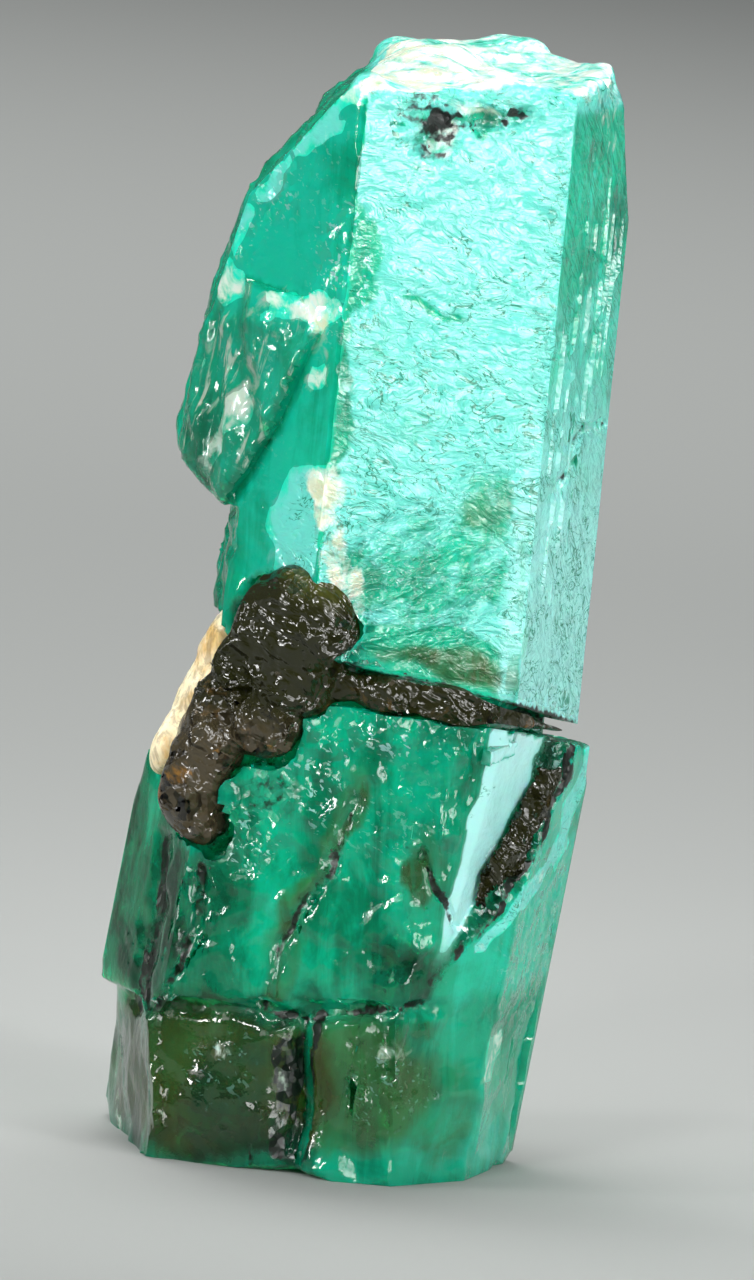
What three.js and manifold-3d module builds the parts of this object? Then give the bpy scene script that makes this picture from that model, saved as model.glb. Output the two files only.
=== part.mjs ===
// Emerald crystal, as broken out of its mica schist: two stacked six-sided beryl prisms that
// meet at a dark healed break. Dark mica fills the break and a hollow on the left edge, with
// a streak of cream feldspar beside it. The crystal stands on its flat basal break.
// Millimetres, +Z up the crystal. -Y is the broad etched face, +X is the striated face, and
// the origin is the middle of the base.
import * as THREE from "three";
import { ConvexGeometry } from "three/addons/geometries/ConvexGeometry.js";
import { mergeVertices } from "three/addons/utils/BufferGeometryUtils.js";
import Module from "manifold-3d";

const wasm = await Module();
wasm.setup();

// Driving dimensions
const HEIGHT = 26.6; // base to broken top
const FACE_TURN = -77; // direction in which the broad face looks, degrees from +X
const LOWER_LEAN = 5.6; // degrees that the lower prism leans to the right
const LOWER_PIVOT = vector(-0.2, 0, 6);
const MINERAL_GAP = 0.12; // clearance between one mineral and the next
const BIG = 60; // a cutting block, larger than the crystal
const SHORT_EDGE = 0.07; // corners nearer than this are merged after the cuts
const FLAT = 0.01; // a triangle lower than this is turned into its neighbour
const TIDY_PASSES = 40;

// Prism faces: direction in degrees from +X, and distance from the prism's axis
const UPPER_FACES = [
  { azimuth: FACE_TURN, reach: 4.5 },
  { azimuth: FACE_TURN + 60, reach: 4.56 },
  { azimuth: FACE_TURN + 120, reach: 4.67 },
  { azimuth: FACE_TURN + 180, reach: 4.54 },
  { azimuth: FACE_TURN + 240, reach: 4.47 },
  { azimuth: FACE_TURN + 300, reach: 4.44 },
];
const LOWER_FACES = [
  { azimuth: -101, reach: 4.48 },
  { azimuth: -42, reach: 4.85 },
  { azimuth: FACE_TURN + 60, reach: 4.81 },
  { azimuth: FACE_TURN + 120, reach: 4.68 },
  { azimuth: FACE_TURN + 180, reach: 4.62 },
  { azimuth: FACE_TURN + 240, reach: 4.93 },
  { azimuth: 204, reach: 4.95 },
];

// The joined middle at the healed break lies behind the front faces and nearly flush at the back
const CORE_FACES = [
  { azimuth: FACE_TURN, reach: 3.5 },
  { azimuth: FACE_TURN + 60, reach: 3.6 },
  { azimuth: FACE_TURN + 120, reach: 4.5 },
  { azimuth: FACE_TURN + 180, reach: 4.42 },
  { azimuth: FACE_TURN + 240, reach: 4.3 },
  { azimuth: FACE_TURN + 300, reach: 3.4 },
];

// The healed break: the underside of the upper prism and the top of the lower one
const BREAK_ROOF = { point: vector(0, 0, 11.63), normal: vector(0.136, 0.144, 1).normalize() };
const BREAK_FLOOR = { point: vector(0, 0, 10.83), normal: vector(0.057, 0.117, 1).normalize() };

// The pale strip beside the front edge of the lower prism, and the rough ledge that ends it
const STRIP_LEAN = 8;
const STRIP = { azimuth: -22, reach: 4.1 };
const LEDGE = { point: vector(3.54, -2.42, 8.19), normal: vector(0.534, -0.768, 0.354) };
const LEDGE_CORNER = { point: LEDGE.point, normal: vector(0.803, -0.596, 0.011) };
const LEDGE_MICA = 0.34; // thickness of the mica film on the ledge
const SCAB_THICK = 0.62; // how far the scab stands off the front-left face

// Bevels of the upper prism: two shoulders on the left and a worn corner at the top right
const SHOULDERS = [
  { normal: vector(-0.8, 0.04, 0.6).normalize(), point: vector(-1.6, -4.9, 26.3) },
  { normal: vector(-0.975, 0, 0.22).normalize(), point: vector(-4.4, -1.1, 20.9) },
  { normal: vector(0.985, 0.05, 0.16).normalize(), point: vector(4.93, 0.6, 24.6) },
];

// Growth ridges: place across the face, low end, high end, sideways drift, half breadth
const RIDGE_RELIEF = 0.11;
const RIGHT_RIDGES = [
  [-2.1, 14.5, 24.8, 0.5, 0.14], [-1.6, 12.6, 21.5, 0.5, 0.16], [-1.2, 17.5, 25.2, 0.5, 0.15],
  [-0.8, 12.9, 19.5, 0.4, 0.13], [-0.3, 16.4, 24.6, 0.4, 0.18], [0.2, 14.2, 22.3, 0.3, 0.14],
  [0.7, 17.0, 25.4, 0.2, 0.16], [1.2, 18.6, 24.1, 0.2, 0.14], [1.7, 18.9, 25.0, 0.1, 0.15],
  [2.1, 19.4, 23.6, 0.1, 0.12],
];
const BACK_RIDGES = [
  [-1.9, 13.2, 22.5, 0.1, 0.2], [-1.1, 15.8, 25.0, -0.1, 0.16], [-0.2, 12.6, 18.4, 0.1, 0.2],
  [0.6, 16.8, 24.0, 0.1, 0.18], [1.5, 13.8, 20.6, 0, 0.2],
];

// Lumps of mica in the hollow on the left edge, and of feldspar beside it
const MICA_LUMPS = [
  { centre: [-1.25, -4.15, 13.25], radii: [1.05, 0.8, 1.2], seed: 4 },
  { centre: [-2.4, -3.45, 13.1], radii: [0.85, 0.8, 1.15], seed: 5 },
  { centre: [-1.75, -4.0, 12.0], radii: [1.15, 0.75, 1.1], seed: 14 },
  { centre: [-2.85, -3.35, 11.6], radii: [0.95, 0.9, 1.3], seed: 7 },
  { centre: [-2.2, -3.85, 10.7], radii: [0.95, 0.75, 0.95], seed: 8 },
  { centre: [-3.5, -3.4, 11.05], radii: [0.5, 0.55, 0.75], seed: 10 },
  { centre: [-3.45, -3.2, 10.1], radii: [0.9, 0.95, 1.3], turn: [0, 20, 0], seed: 11 },
  { centre: [-3.75, -3.15, 8.8], radii: [0.85, 0.85, 1.1], seed: 13 },
  { centre: [-3.35, -3.45, 8.0], radii: [0.65, 0.62, 0.6], seed: 17 },
];
const FELDSPAR_LUMPS = [
  { centre: [-3.45, -1.3, 12.2], radii: [0.42, 0.8, 1.0], turn: [0, 20, 0], seed: 31 },
  { centre: [-3.85, -1.34, 10.98], radii: [0.5, 1.0, 1.2], turn: [0, 22, 0], seed: 33 },
  { centre: [-4.45, -1.6, 9.75], radii: [0.4, 0.7, 0.85], turn: [0, 20, 0], seed: 35 },
];

// Open cracks: points along the crack, direction of its face, half width and depth
const CRACKS = [
  { face: -125, width: 0.3, depth: 0.5,
    run: [[-3.85, -4.0, 7.5], [-4.1, -3.95, 6.3], [-4.35, -3.9, 5.0], [-4.5, -3.85, 3.7]] },
  { face: -101, width: 0.16, depth: 0.42,
    run: [[-3.0, -4.15, 6.8], [-3.2, -4.15, 5.6], [-3.6, -4.1, 4.8], [-3.75, -4.1, 3.9]] },
  { face: -101, width: 0.2, depth: 0.42,
    run: [[-0.35, -4.7, 8.6], [-0.65, -4.65, 7.1], [-1.05, -4.6, 5.9], [-1.2, -4.55, 4.2]] },
  { face: -60, width: 0.12, depth: 0.4,
    run: [[1.75, -4.95, 8.4], [1.8, -4.95, 7.2], [2.15, -4.95, 6.3], [2.35, -4.95, 5.5]] },
  { face: -17, width: 0.12, depth: 0.24,
    run: [[5.3, 1.2, 18.3], [5.0, 0.3, 17.9], [4.75, -0.5, 17.0], [4.45, -1.5, 16.2], [4.2, -2.4, 14.6]] },
  { face: -101, width: 0.34, depth: 0.8,
    run: [[-0.6, -4.1, 4.2], [-0.75, -4.05, 2.9], [-0.5, -4.05, 1.6], [-0.6, -4.0, -0.4]] },
  { face: -101, width: 0.12, depth: 0.5,
    run: [[0.65, -4.4, 3.9], [0.6, -4.35, 2.4], [0.75, -4.35, 1.3]] },
  { face: 103, width: 0.14, depth: 0.3,
    run: [[-2.6, 4.2, 21.5], [-2.2, 4.3, 19.2], [-2.9, 4.1, 17.2]] },
  { face: 103, width: 0.16, depth: 0.34,
    run: [[1.2, 4.6, 9.0], [0.6, 4.7, 6.8], [1.0, 4.6, 4.1]] },
];

// Small pits where mica flakes have dropped out
const PITS = [
  { centre: [0.25, -4.68, 24.58], radii: [0.42, 0.3, 0.5], seed: 71 },
  { centre: [0.66, -4.64, 25.3], radii: [0.36, 0.26, 0.3], seed: 72 },
  { centre: [1.6, -4.3, 25.35], radii: [0.62, 0.26, 0.24], seed: 73 },
  { centre: [-0.55, -4.75, 25.15], radii: [0.3, 0.22, 0.18], seed: 74 },
  { centre: [3.55, -3.3, 2.25], radii: [0.3, 0.4, 0.22], seed: 75 },
  { centre: [3.4, 3.4, 20.4], radii: [0.5, 0.5, 0.8], seed: 76 },
  { centre: [-3.9, 3.6, 7.6], radii: [0.6, 0.5, 0.9], seed: 77 },
];

// Chips around the rim of the base
const BASE_CHIPS = [
  { azimuth: -99, rise: -52, point: [-3.3, -4.1, 0.25], across: 2.4 },
  { azimuth: -78, rise: -40, point: [1.3, -4.9, 0.3], across: 2.2 },
  { azimuth: -40, rise: -38, point: [3.75, -3.0, 0.35], across: 2.6 },
  { azimuth: -8, rise: -50, point: [4.75, 0.6, 0.4], across: 3.6 },
  { azimuth: 44, rise: -45, point: [3.1, 3.1, 0.3], across: 6 },
  { azimuth: 103, rise: -48, point: [-1.2, 4.35, 0.35], across: 9 },
  { azimuth: 165, rise: -50, point: [-5.2, 1.9, 0.25], across: 6 },
  { azimuth: 205, rise: -46, point: [-5.15, -1.9, 0.2], across: 4 },
];

const MATERIALS = {
  emerald: new THREE.MeshStandardMaterial({ color: 0x1f9c6c, roughness: 0.25, metalness: 0 }),
  mica: new THREE.MeshStandardMaterial({ color: 0x2b2419, roughness: 0.3, metalness: 0 }),
  feldspar: new THREE.MeshStandardMaterial({ color: 0xe3cfa0, roughness: 0.55, metalness: 0 }),
};

function vector(x, y, z) {
  return new THREE.Vector3(x, y, z);
}

const radians = THREE.MathUtils.degToRad;

// A repeatable number from 0 to 1 for a whole-number lattice point
function lattice(i, j, k, seed) {
  const s = Math.sin(i * 127.1 + j * 311.7 + k * 74.7 + seed * 53.3) * 43758.5453;
  return s - Math.floor(s);
}

// Smooth noise from -1 to 1
function noise(x, y, z, seed = 0) {
  const [i, j, k] = [Math.floor(x), Math.floor(y), Math.floor(z)];
  const ease = (t) => t * t * (3 - 2 * t);
  const [u, v, w] = [ease(x - i), ease(y - j), ease(z - k)];
  let total = 0;
  for (const a of [0, 1]) {
    for (const b of [0, 1]) {
      for (const c of [0, 1]) {
        const share = (a ? u : 1 - u) * (b ? v : 1 - v) * (c ? w : 1 - w);
        total += share * lattice(i + a, j + b, k + c, seed);
      }
    }
  }
  return 2 * total - 1;
}

// A closed solid of a geometry whose shared corners are merged
function solidOf(geometry) {
  const bare = geometry.clone();
  bare.deleteAttribute("normal");
  bare.deleteAttribute("uv");
  const merged = mergeVertices(bare, 1e-4);
  return new wasm.Manifold(
    new wasm.Mesh({
      numProp: 3,
      vertProperties: new Float32Array(merged.attributes.position.array),
      triVerts: new Uint32Array(merged.index.array),
    }),
  );
}

// The triangles of the largest closed body, without the loose crumbs that cuts leave
function largestBody(faces, count) {
  const owner = new Map();
  faces.forEach((face, f) => {
    face.forEach((corner, k) => owner.set(corner * count + face[(k + 1) % 3], f));
  });
  const seen = new Set();
  let largest = [];
  faces.forEach((_, first) => {
    const body = seen.has(first) ? [] : [first];
    seen.add(first);
    for (const f of body) {
      faces[f].forEach((corner, k) => {
        const next = owner.get(faces[f][(k + 1) % 3] * count + corner);
        if (seen.has(next)) return;
        seen.add(next);
        body.push(next);
      });
    }
    if (body.length > largest.length) largest = body;
  });
  return largest.map((f) => faces[f]);
}

function normalOf(points, [a, b, c]) {
  const along = vector(0, 0, 0).subVectors(points[b], points[a]);
  const across = vector(0, 0, 0).subVectors(points[c], points[a]);
  return along.cross(across);
}

// Height of a triangle over its longest side
function flatness(points, face) {
  const [a, b, c] = face.map((i) => points[i]);
  const longest = Math.max(a.distanceTo(b), b.distanceTo(c), c.distanceTo(a));
  return normalOf(points, face).length() / longest;
}

// Draws corners together that are nearer to each other than SHORT_EDGE
function mergeShort(points, faces) {
  const around = points.map(() => []);
  faces.forEach((face) => face.forEach((corner) => around[corner].push(face)));
  const nextTo = (corner) => new Set(around[corner].flat().filter((other) => other !== corner));
  const touched = new Set();
  for (const face of faces) {
    for (let k = 0; k < 3; k++) {
      const pair = [face[k], face[(k + 1) % 3]];
      if (points[pair[0]].distanceTo(points[pair[1]]) > SHORT_EDGE) continue;
      const near = pair.map(nextTo);
      const shared = [...near[0]].filter((corner) => near[1].has(corner));
      const ring = [...near[0], ...near[1]];
      if (shared.length !== 2 || ring.some((corner) => touched.has(corner))) continue;
      const keeps = [pair, [pair[1], pair[0]]].find(([keep, drop]) =>
        around[drop].filter((next) => !next.includes(keep)).every((next) => {
          const turned = next.map((corner) => (corner === drop ? keep : corner));
          const [was, is] = [normalOf(points, next), normalOf(points, turned)];
          const small = flatness(points, next) < FLAT || was.length() < SHORT_EDGE ** 2;
          return small || was.dot(is) > 0.3 * was.length() * is.length();
        }),
      );
      if (!keeps) continue;
      const [keep, drop] = keeps;
      around[drop].forEach((next) => next.splice(next.indexOf(drop), 1, keep));
      ring.forEach((corner) => touched.add(corner));
      break;
    }
  }
  return faces.filter((face) => new Set(face).size === 3);
}

// Turns the shared side of a flattened triangle and its neighbour
function turnFlat(points, faces) {
  const owner = new Map();
  const key = (a, b) => a * points.length + b;
  faces.forEach((face) => face.forEach((a, k) => owner.set(key(a, face[(k + 1) % 3]), face)));
  const touched = new Set();
  for (const face of faces) {
    if (flatness(points, face) > FLAT || touched.has(face)) continue;
    const lengths = face.map((a, k) => points[a].distanceTo(points[face[(k + 1) % 3]]));
    const k = lengths.indexOf(Math.max(...lengths));
    const [a, b, c] = [face[k], face[(k + 1) % 3], face[(k + 2) % 3]];
    const other = owner.get(key(b, a));
    if (touched.has(other)) continue;
    const d = other.find((corner) => corner !== a && corner !== b);
    if (owner.has(key(c, d)) || owner.has(key(d, c))) continue;
    const turned = [[a, d, c], [d, b, c]];
    if (turned.some((next) => normalOf(points, next).dot(normalOf(points, other)) <= 0)) continue;
    face.splice(0, 3, ...turned[0]);
    other.splice(0, 3, ...turned[1]);
    touched.add(face);
    touched.add(other);
    owner.set(key(c, d), other);
    owner.set(key(d, c), face);
  }
}

function meshOf(name, solid, material) {
  const made = solid.getMesh();
  const points = [];
  for (let i = 0; i < made.vertProperties.length; i += 3) {
    points.push(vector(...made.vertProperties.subarray(i, i + 3)));
  }
  let faces = [];
  for (let i = 0; i < made.triVerts.length; i += 3) {
    faces.push([...made.triVerts.subarray(i, i + 3)]);
  }
  for (let pass = 0; pass < TIDY_PASSES; pass++) {
    faces = mergeShort(points, largestBody(faces, points.length));
    turnFlat(points, faces);
  }
  faces = largestBody(faces, points.length);
  const geometry = new THREE.BufferGeometry();
  geometry.setAttribute(
    "position",
    new THREE.Float32BufferAttribute(points.flatMap((point) => point.toArray()), 3),
  );
  geometry.setIndex(faces.flat());
  const mesh = new THREE.Mesh(geometry, material);
  mesh.name = name;
  return mesh;
}

const join = (solids) => solids.reduce((all, next) => all.add(next));
const cutAll = (solid, cutters) => cutters.reduce((left, next) => left.subtract(next), solid);

function direction(azimuth, rise = 0) {
  const level = Math.cos(radians(rise));
  return vector(
    level * Math.cos(radians(azimuth)),
    level * Math.sin(radians(azimuth)),
    Math.sin(radians(rise)),
  );
}

function block(low, high) {
  const size = vector(0, 0, 0).subVectors(high, low);
  const geometry = new THREE.BoxGeometry(size.x, size.y, size.z);
  geometry.translate((low.x + high.x) / 2, (low.y + high.y) / 2, (low.z + high.z) / 2);
  return solidOf(geometry);
}

// Everything beyond a plane that looks along normal and passes through point
function beyond({ normal, point }) {
  const geometry = new THREE.BoxGeometry(BIG, BIG, BIG);
  geometry.translate(0, 0, BIG / 2);
  geometry.applyQuaternion(new THREE.Quaternion().setFromUnitVectors(vector(0, 0, 1), normal));
  geometry.translate(point.x, point.y, point.z);
  return solidOf(geometry);
}

// The same plane, moved out along its normal
function moved({ normal, point }, distance) {
  return { normal, point: point.clone().addScaledVector(normal, distance) };
}

// A block that leaves a hackly broken surface where it cuts. Its broken side looks back along
// normal, is centred on point, and is across wide by along tall in cells of about cell.
function breakage({
  normal, point, across, along, cell, relief, grain, seed, depth = 6, stretch = 1, spin = 0,
}) {
  const columns = Math.round(across / cell);
  const rows = Math.round(along / cell);
  const geometry = new THREE.BoxGeometry(across, along, depth, columns, rows, 1);
  geometry.translate(0, 0, depth / 2);
  const place = geometry.attributes.position;
  for (let i = 0; i < place.count; i++) {
    if (place.getZ(i) > depth / 2) continue;
    const [x, y] = [place.getX(i), place.getY(i)];
    const swell = noise(x * grain, y * grain * stretch, 0, seed);
    const chips = noise(x * grain * 2.7, y * grain * stretch * 2.7, 5, seed);
    const crumb = lattice(Math.round(x * 50), Math.round(y * 50), 0, seed) - 0.5;
    place.setZ(i, relief * (0.6 * swell + 0.35 * chips + 0.3 * crumb));
  }
  const up = Math.abs(normal.z) > 0.9 ? vector(0, 1, 0) : vector(0, 0, 1);
  const side = vector(0, 0, 0).crossVectors(up, normal).normalize();
  const tall = vector(0, 0, 0).crossVectors(normal, side);
  geometry.rotateZ(radians(spin));
  geometry.applyMatrix4(new THREE.Matrix4().makeBasis(side, tall, normal).setPosition(point));
  return solidOf(geometry);
}

// A sharp V groove along a run of points on a face. It narrows at both ends.
function crack({ run: places, face, width, depth }) {
  const points = places.map((place) => vector(...place));
  const outward = direction(face);
  const corners = [];
  points.forEach((place, i) => {
    const before = points[Math.max(i - 1, 0)];
    const after = points[Math.min(i + 1, points.length - 1)];
    const run = vector(0, 0, 0).subVectors(after, before);
    const side = run.cross(outward).normalize();
    const share = i === 0 || i === points.length - 1 ? 0.35 : 1;
    const mouth = place.clone().addScaledVector(outward, depth);
    const reach = width * (0.5 + depth / 2) * share;
    corners.push(mouth.clone().addScaledVector(side, reach));
    corners.push(mouth.clone().addScaledVector(side, -reach));
    corners.push(place.clone().addScaledVector(outward, -depth * share));
  });
  const faces = [[0, 1, 2]];
  for (let i = 0; i < points.length - 1; i++) {
    for (const [from, to] of [[1, 0], [2, 1], [0, 2]]) {
      const [a, b] = [3 * i + from, 3 * i + to];
      faces.push([a, b, b + 3], [a, b + 3, a + 3]);
    }
  }
  const last = 3 * (points.length - 1);
  faces.push([last + 1, last, last + 2]);
  const geometry = new THREE.BufferGeometry().setFromPoints(corners);
  geometry.setIndex(faces.flat());
  return solidOf(geometry);
}

// A rounded lump with an uneven, faceted skin
function lump({ centre, radii, turn = [0, 0, 0], detail = 2, relief = 0.16, seed = 1 }, grow = 0) {
  const geometry = new THREE.IcosahedronGeometry(1, detail);
  const place = geometry.attributes.position;
  const point = vector(0, 0, 0);
  for (let i = 0; i < place.count; i++) {
    point.fromBufferAttribute(place, i);
    const swell = noise(point.x * 2.2, point.y * 2.2, point.z * 2.2, seed) * relief;
    const chips = noise(point.x * 5, point.y * 5, point.z * 5, seed + 9) * relief * 0.5;
    point.multiplyScalar(1 + swell + chips);
    place.setXYZ(
      i,
      point.x * (radii[0] + grow),
      point.y * (radii[1] + grow),
      point.z * (radii[2] + grow),
    );
  }
  geometry.applyMatrix4(
    new THREE.Matrix4()
      .makeRotationFromEuler(new THREE.Euler(...turn.map(radians)))
      .setPosition(vector(...centre)),
  );
  return solidOf(geometry);
}

function facePlane({ azimuth, reach }, centre) {
  const normal = direction(azimuth);
  return { normal, point: centre.clone().addScaledVector(normal, reach) };
}

function prism(faces, low, high, centre = vector(0, 0, 0), inset = 0) {
  const blank = block(vector(-9, -9, low), vector(9, 9, high));
  return cutAll(blank, faces.map((face) => beyond(moved(facePlane(face, centre), -inset))));
}

// Leans a solid, or a plane, of the lower prism to the right
function leaned(thing, angle = LOWER_LEAN) {
  const turn = new THREE.Matrix4()
    .makeTranslation(LOWER_PIVOT)
    .multiply(new THREE.Matrix4().makeRotationY(radians(angle)))
    .multiply(new THREE.Matrix4().makeTranslation(LOWER_PIVOT.clone().negate()));
  if (thing.normal) {
    return {
      normal: thing.normal.clone().transformDirection(turn),
      point: thing.point.clone().applyMatrix4(turn),
    };
  }
  return thing.transform(turn.elements);
}

const stripPlane = leaned(facePlane(STRIP, LOWER_PIVOT), STRIP_LEAN);

// The scab of rough beryl that stands on the front-left face of the upper prism
function scab() {
  const outline = [
    [-4.15, -1.4, 20.5], [-3.8, -2.1, 21.1], [-2.4, -3.8, 20.9], [-1.8, -4.4, 20.2],
    [-2.6, -3.6, 17.8], [-3.2, -2.95, 16.5], [-3.7, -2.3, 15.5], [-4.5, -1.2, 16.1],
    [-4.6, 0.1, 17.2], [-4.4, 0.0, 19.0],
  ];
  const outward = direction(UPPER_FACES[5].azimuth);
  const corners = outline.flatMap(([x, y, z]) => {
    const foot = vector(x, y, z);
    return [
      foot.clone().addScaledVector(outward, -0.8),
      foot.clone().addScaledVector(outward, SCAB_THICK),
    ];
  });
  const rough = breakage({
    normal: direction(UPPER_FACES[5].azimuth - 3, 4),
    point: vector(-3.55, -3.15, 18),
    across: 7, along: 8, cell: 0.5, relief: 0.42, grain: 0.6, stretch: 0.6, seed: 21,
  });
  return cutAll(solidOf(new ConvexGeometry(corners)), [rough]);
}

// Long thin ridges up a prism face, each thickest in the middle
function striations(face, ridges) {
  const { normal, point } = facePlane(face, vector(0, 0, 0));
  const side = vector(0, 0, 0).crossVectors(vector(0, 0, 1), normal);
  return ridges.map(([across, low, high, drift, breadth]) => {
    const corners = [];
    for (const [rise, share] of [[0, 0.3], [0.5, 1], [1, 0.3]]) {
      const foot = point.clone().addScaledVector(side, across + drift * rise);
      foot.z = low + (high - low) * rise;
      const buried = foot.clone().addScaledVector(normal, -RIDGE_RELIEF);
      corners.push(buried.clone().addScaledVector(side, breadth * share));
      corners.push(buried.clone().addScaledVector(side, -breadth * share));
      corners.push(foot.addScaledVector(normal, RIDGE_RELIEF * share));
    }
    return solidOf(new ConvexGeometry(corners));
  });
}

// The upper prism, with its broken top and the bevelled shoulder on its left
function upperPrism() {
  const solid = join([
    prism(UPPER_FACES, 9, HEIGHT + 1),
    ...striations(UPPER_FACES[1], RIGHT_RIDGES),
    ...striations(UPPER_FACES[3], BACK_RIDGES),
  ]);
  const top = breakage({
    normal: direction(-90, 86),
    point: vector(0.4, 0, HEIGHT - 0.1),
    across: 12, along: 12, cell: 0.62, relief: 0.6, grain: 0.42, seed: 4,
  });
  const underside = { normal: BREAK_ROOF.normal.clone().negate(), point: BREAK_ROOF.point };
  return cutAll(solid, [...SHOULDERS.map(beyond), beyond(underside), top]);
}

// The lower prism: rough front panel, smooth left slab, pale strip and the ledge beside it
function lowerPrism() {
  const ledge = breakage({
    normal: LEDGE.normal, point: LEDGE.point, across: 9, along: 10, cell: 0.5, relief: 0.16,
    grain: 0.7, seed: 15,
  });
  const overStrip = beyond(stripPlane).intersect(ledge).intersect(beyond(LEDGE_CORNER));
  const front = leaned(facePlane(LOWER_FACES[0], LOWER_PIVOT));
  const panel = breakage({
    normal: front.normal, point: vector(-1.2, -4.42, 7.7), across: 7.4, along: 8.4,
    cell: 0.5, relief: 0.34, grain: 0.55, stretch: 0.4, seed: 12, depth: 3,
  });
  return cutAll(leaned(prism(LOWER_FACES, -3, 14, LOWER_PIVOT)), [
    beyond(BREAK_FLOOR),
    overStrip,
    panel,
  ]);
}

// Broken hollow on the left edge, between the scab and the lower slab
function neckCuts() {
  return [
    breakage({
      normal: direction(181, 0), point: vector(-3.6, 0, 13.4), across: 7.4, along: 4.5,
      cell: 0.5, relief: 0.36, grain: 0.6, seed: 42, depth: 3,
    }),
    breakage({
      normal: direction(183, 24), point: vector(-3.95, 0, 10.9), across: 8.6, along: 3.6,
      cell: 0.5, relief: 0.3, grain: 0.6, seed: 43, depth: 3,
    }),
    breakage({
      normal: direction(181, -42), point: vector(-4.15, 0, 15.95), across: 7.2, along: 1.9,
      cell: 0.5, relief: 0.25, grain: 0.6, seed: 46, depth: 3,
    }),
  ];
}

// The band below the front step, and the stepped foot of the left slab
function footCuts() {
  return [
    breakage({
      normal: direction(-99, 2), point: vector(-1.9, -4.05, 1.55), across: 7.4, along: 4.9,
      cell: 0.5, relief: 0.36, grain: 0.6, seed: 51, spin: 6, depth: 3,
    }),
    breakage({
      normal: direction(192, -3), point: vector(-4.72, -1.0, 1.4), across: 12, along: 4.4,
      cell: 0.6, relief: 0.24, grain: 0.5, seed: 55, depth: 3,
    }),
  ];
}

// Chips around the rim of the base
function baseChips() {
  return BASE_CHIPS.map(({ azimuth, rise, point, across }, i) =>
    breakage({
      normal: direction(azimuth, rise), point: vector(...point), across, along: 2.4,
      cell: 0.6, relief: 0.22, grain: 0.8, seed: 60 + i, depth: 2,
    }),
  );
}

// A small growth tablet that stands on the pale strip
function tablet() {
  const { normal } = stripPlane;
  const side = vector(0, 0, 0).crossVectors(vector(0, 0, 1), normal).normalize();
  const tall = vector(0, 0, 0).crossVectors(normal, side);
  const start = vector(3.25, -3.9, 10.55);
  const off = vector(0, 0, 0).subVectors(stripPlane.point, start).dot(normal);
  const middle = start.addScaledVector(normal, off);
  const geometry = new THREE.BoxGeometry(1.5, 0.36, 0.26);
  geometry.rotateZ(radians(5));
  geometry.applyMatrix4(new THREE.Matrix4().makeBasis(side, tall, normal).setPosition(middle));
  return solidOf(geometry);
}

// Ground-off and broken places on the back
function backCuts() {
  return [
    breakage({
      normal: direction(70, 6), point: vector(2.0, 4.35, 15.4), across: 3.4, along: 5.2,
      cell: 0.6, relief: 0.35, grain: 0.55, seed: 81, depth: 3, spin: 14,
    }),
    breakage({
      normal: direction(150, -5), point: vector(-4.15, 2.9, 5.0), across: 3.6, along: 5.6,
      cell: 0.6, relief: 0.35, grain: 0.5, seed: 83, depth: 3, spin: -10,
    }),
  ];
}

const lumps = (shapes, grow = 0) => join(shapes.map((shape) => lump(shape, grow)));

// The mica that lies in the healed break
function micaBand() {
  const lowerRim = leaned(prism(LOWER_FACES, 7, 15, LOWER_PIVOT, 0.14));
  const upperRim = prism(UPPER_FACES, 7, 15, vector(0, 0, 0), -0.2);
  const roof = { normal: BREAK_ROOF.normal.clone().negate(), point: BREAK_ROOF.point };
  const band = lowerRim
    .intersect(upperRim)
    .intersect(beyond(moved(roof, MINERAL_GAP)))
    .intersect(beyond(moved(BREAK_FLOOR, MINERAL_GAP)));
  const inner = prism(CORE_FACES, 6, 16, vector(0, 0, 0), -MINERAL_GAP);
  const behind = block(vector(-9, 1.6, 0), vector(9, 9, 20));
  return cutAll(band, [inner, behind, ...neckCuts()]);
}

// The mica film that coats the ledge
function micaFilm() {
  const layer = {
    normal: LEDGE.normal, across: 9, along: 10, cell: 0.5, relief: 0.16, grain: 0.7, seed: 15,
  };
  const near = breakage({ ...layer, point: moved(LEDGE, MINERAL_GAP).point });
  const far = breakage({ ...layer, point: moved(LEDGE, MINERAL_GAP + LEDGE_MICA).point });
  return near
    .subtract(far)
    .intersect(beyond(moved(stripPlane, MINERAL_GAP)))
    .intersect(beyond(moved(LEDGE_CORNER, MINERAL_GAP)))
    .intersect(leaned(prism(LOWER_FACES, 4.4, 10.4, LOWER_PIVOT, 0.1)));
}

const upper = join([upperPrism(), scab()]);
const core = prism(CORE_FACES, 9.6, 13.4);
const ground = beyond({ normal: vector(0, 0, -1), point: vector(0, 0, 0) });
const pocket = join([lumps(MICA_LUMPS, MINERAL_GAP), lumps(FELDSPAR_LUMPS, MINERAL_GAP)]);
const emerald = cutAll(join([upper, lowerPrism(), core, tablet()]), [
  ...neckCuts(),
  ...footCuts(),
  ...baseChips(),
  ...CRACKS.map(crack),
  ...PITS.map((pit) => lump({ detail: 1, ...pit })),
  ...backCuts(),
  pocket,
  ground,
]);
const mica = join([lumps(MICA_LUMPS), micaBand().subtract(lumps(FELDSPAR_LUMPS, MINERAL_GAP))]);
const feldspar = lumps(FELDSPAR_LUMPS).subtract(lumps(MICA_LUMPS, MINERAL_GAP));

const specimen = new THREE.Group();
specimen.add(
  meshOf("emerald_crystal", emerald, MATERIALS.emerald),
  meshOf("mica_matrix", mica, MATERIALS.mica),
  meshOf("mica_film", micaFilm(), MATERIALS.mica),
  meshOf("feldspar_streak", feldspar, MATERIALS.feldspar),
);
export default specimen;
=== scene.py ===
"""An emerald crystal with mica and feldspar on it, dressed over its CAD frame."""

import itertools
import math

import bmesh
import bpy
import numpy as np
from bpy.props import FloatProperty, FloatVectorProperty, IntProperty, PointerProperty
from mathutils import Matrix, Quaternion, Vector

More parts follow.
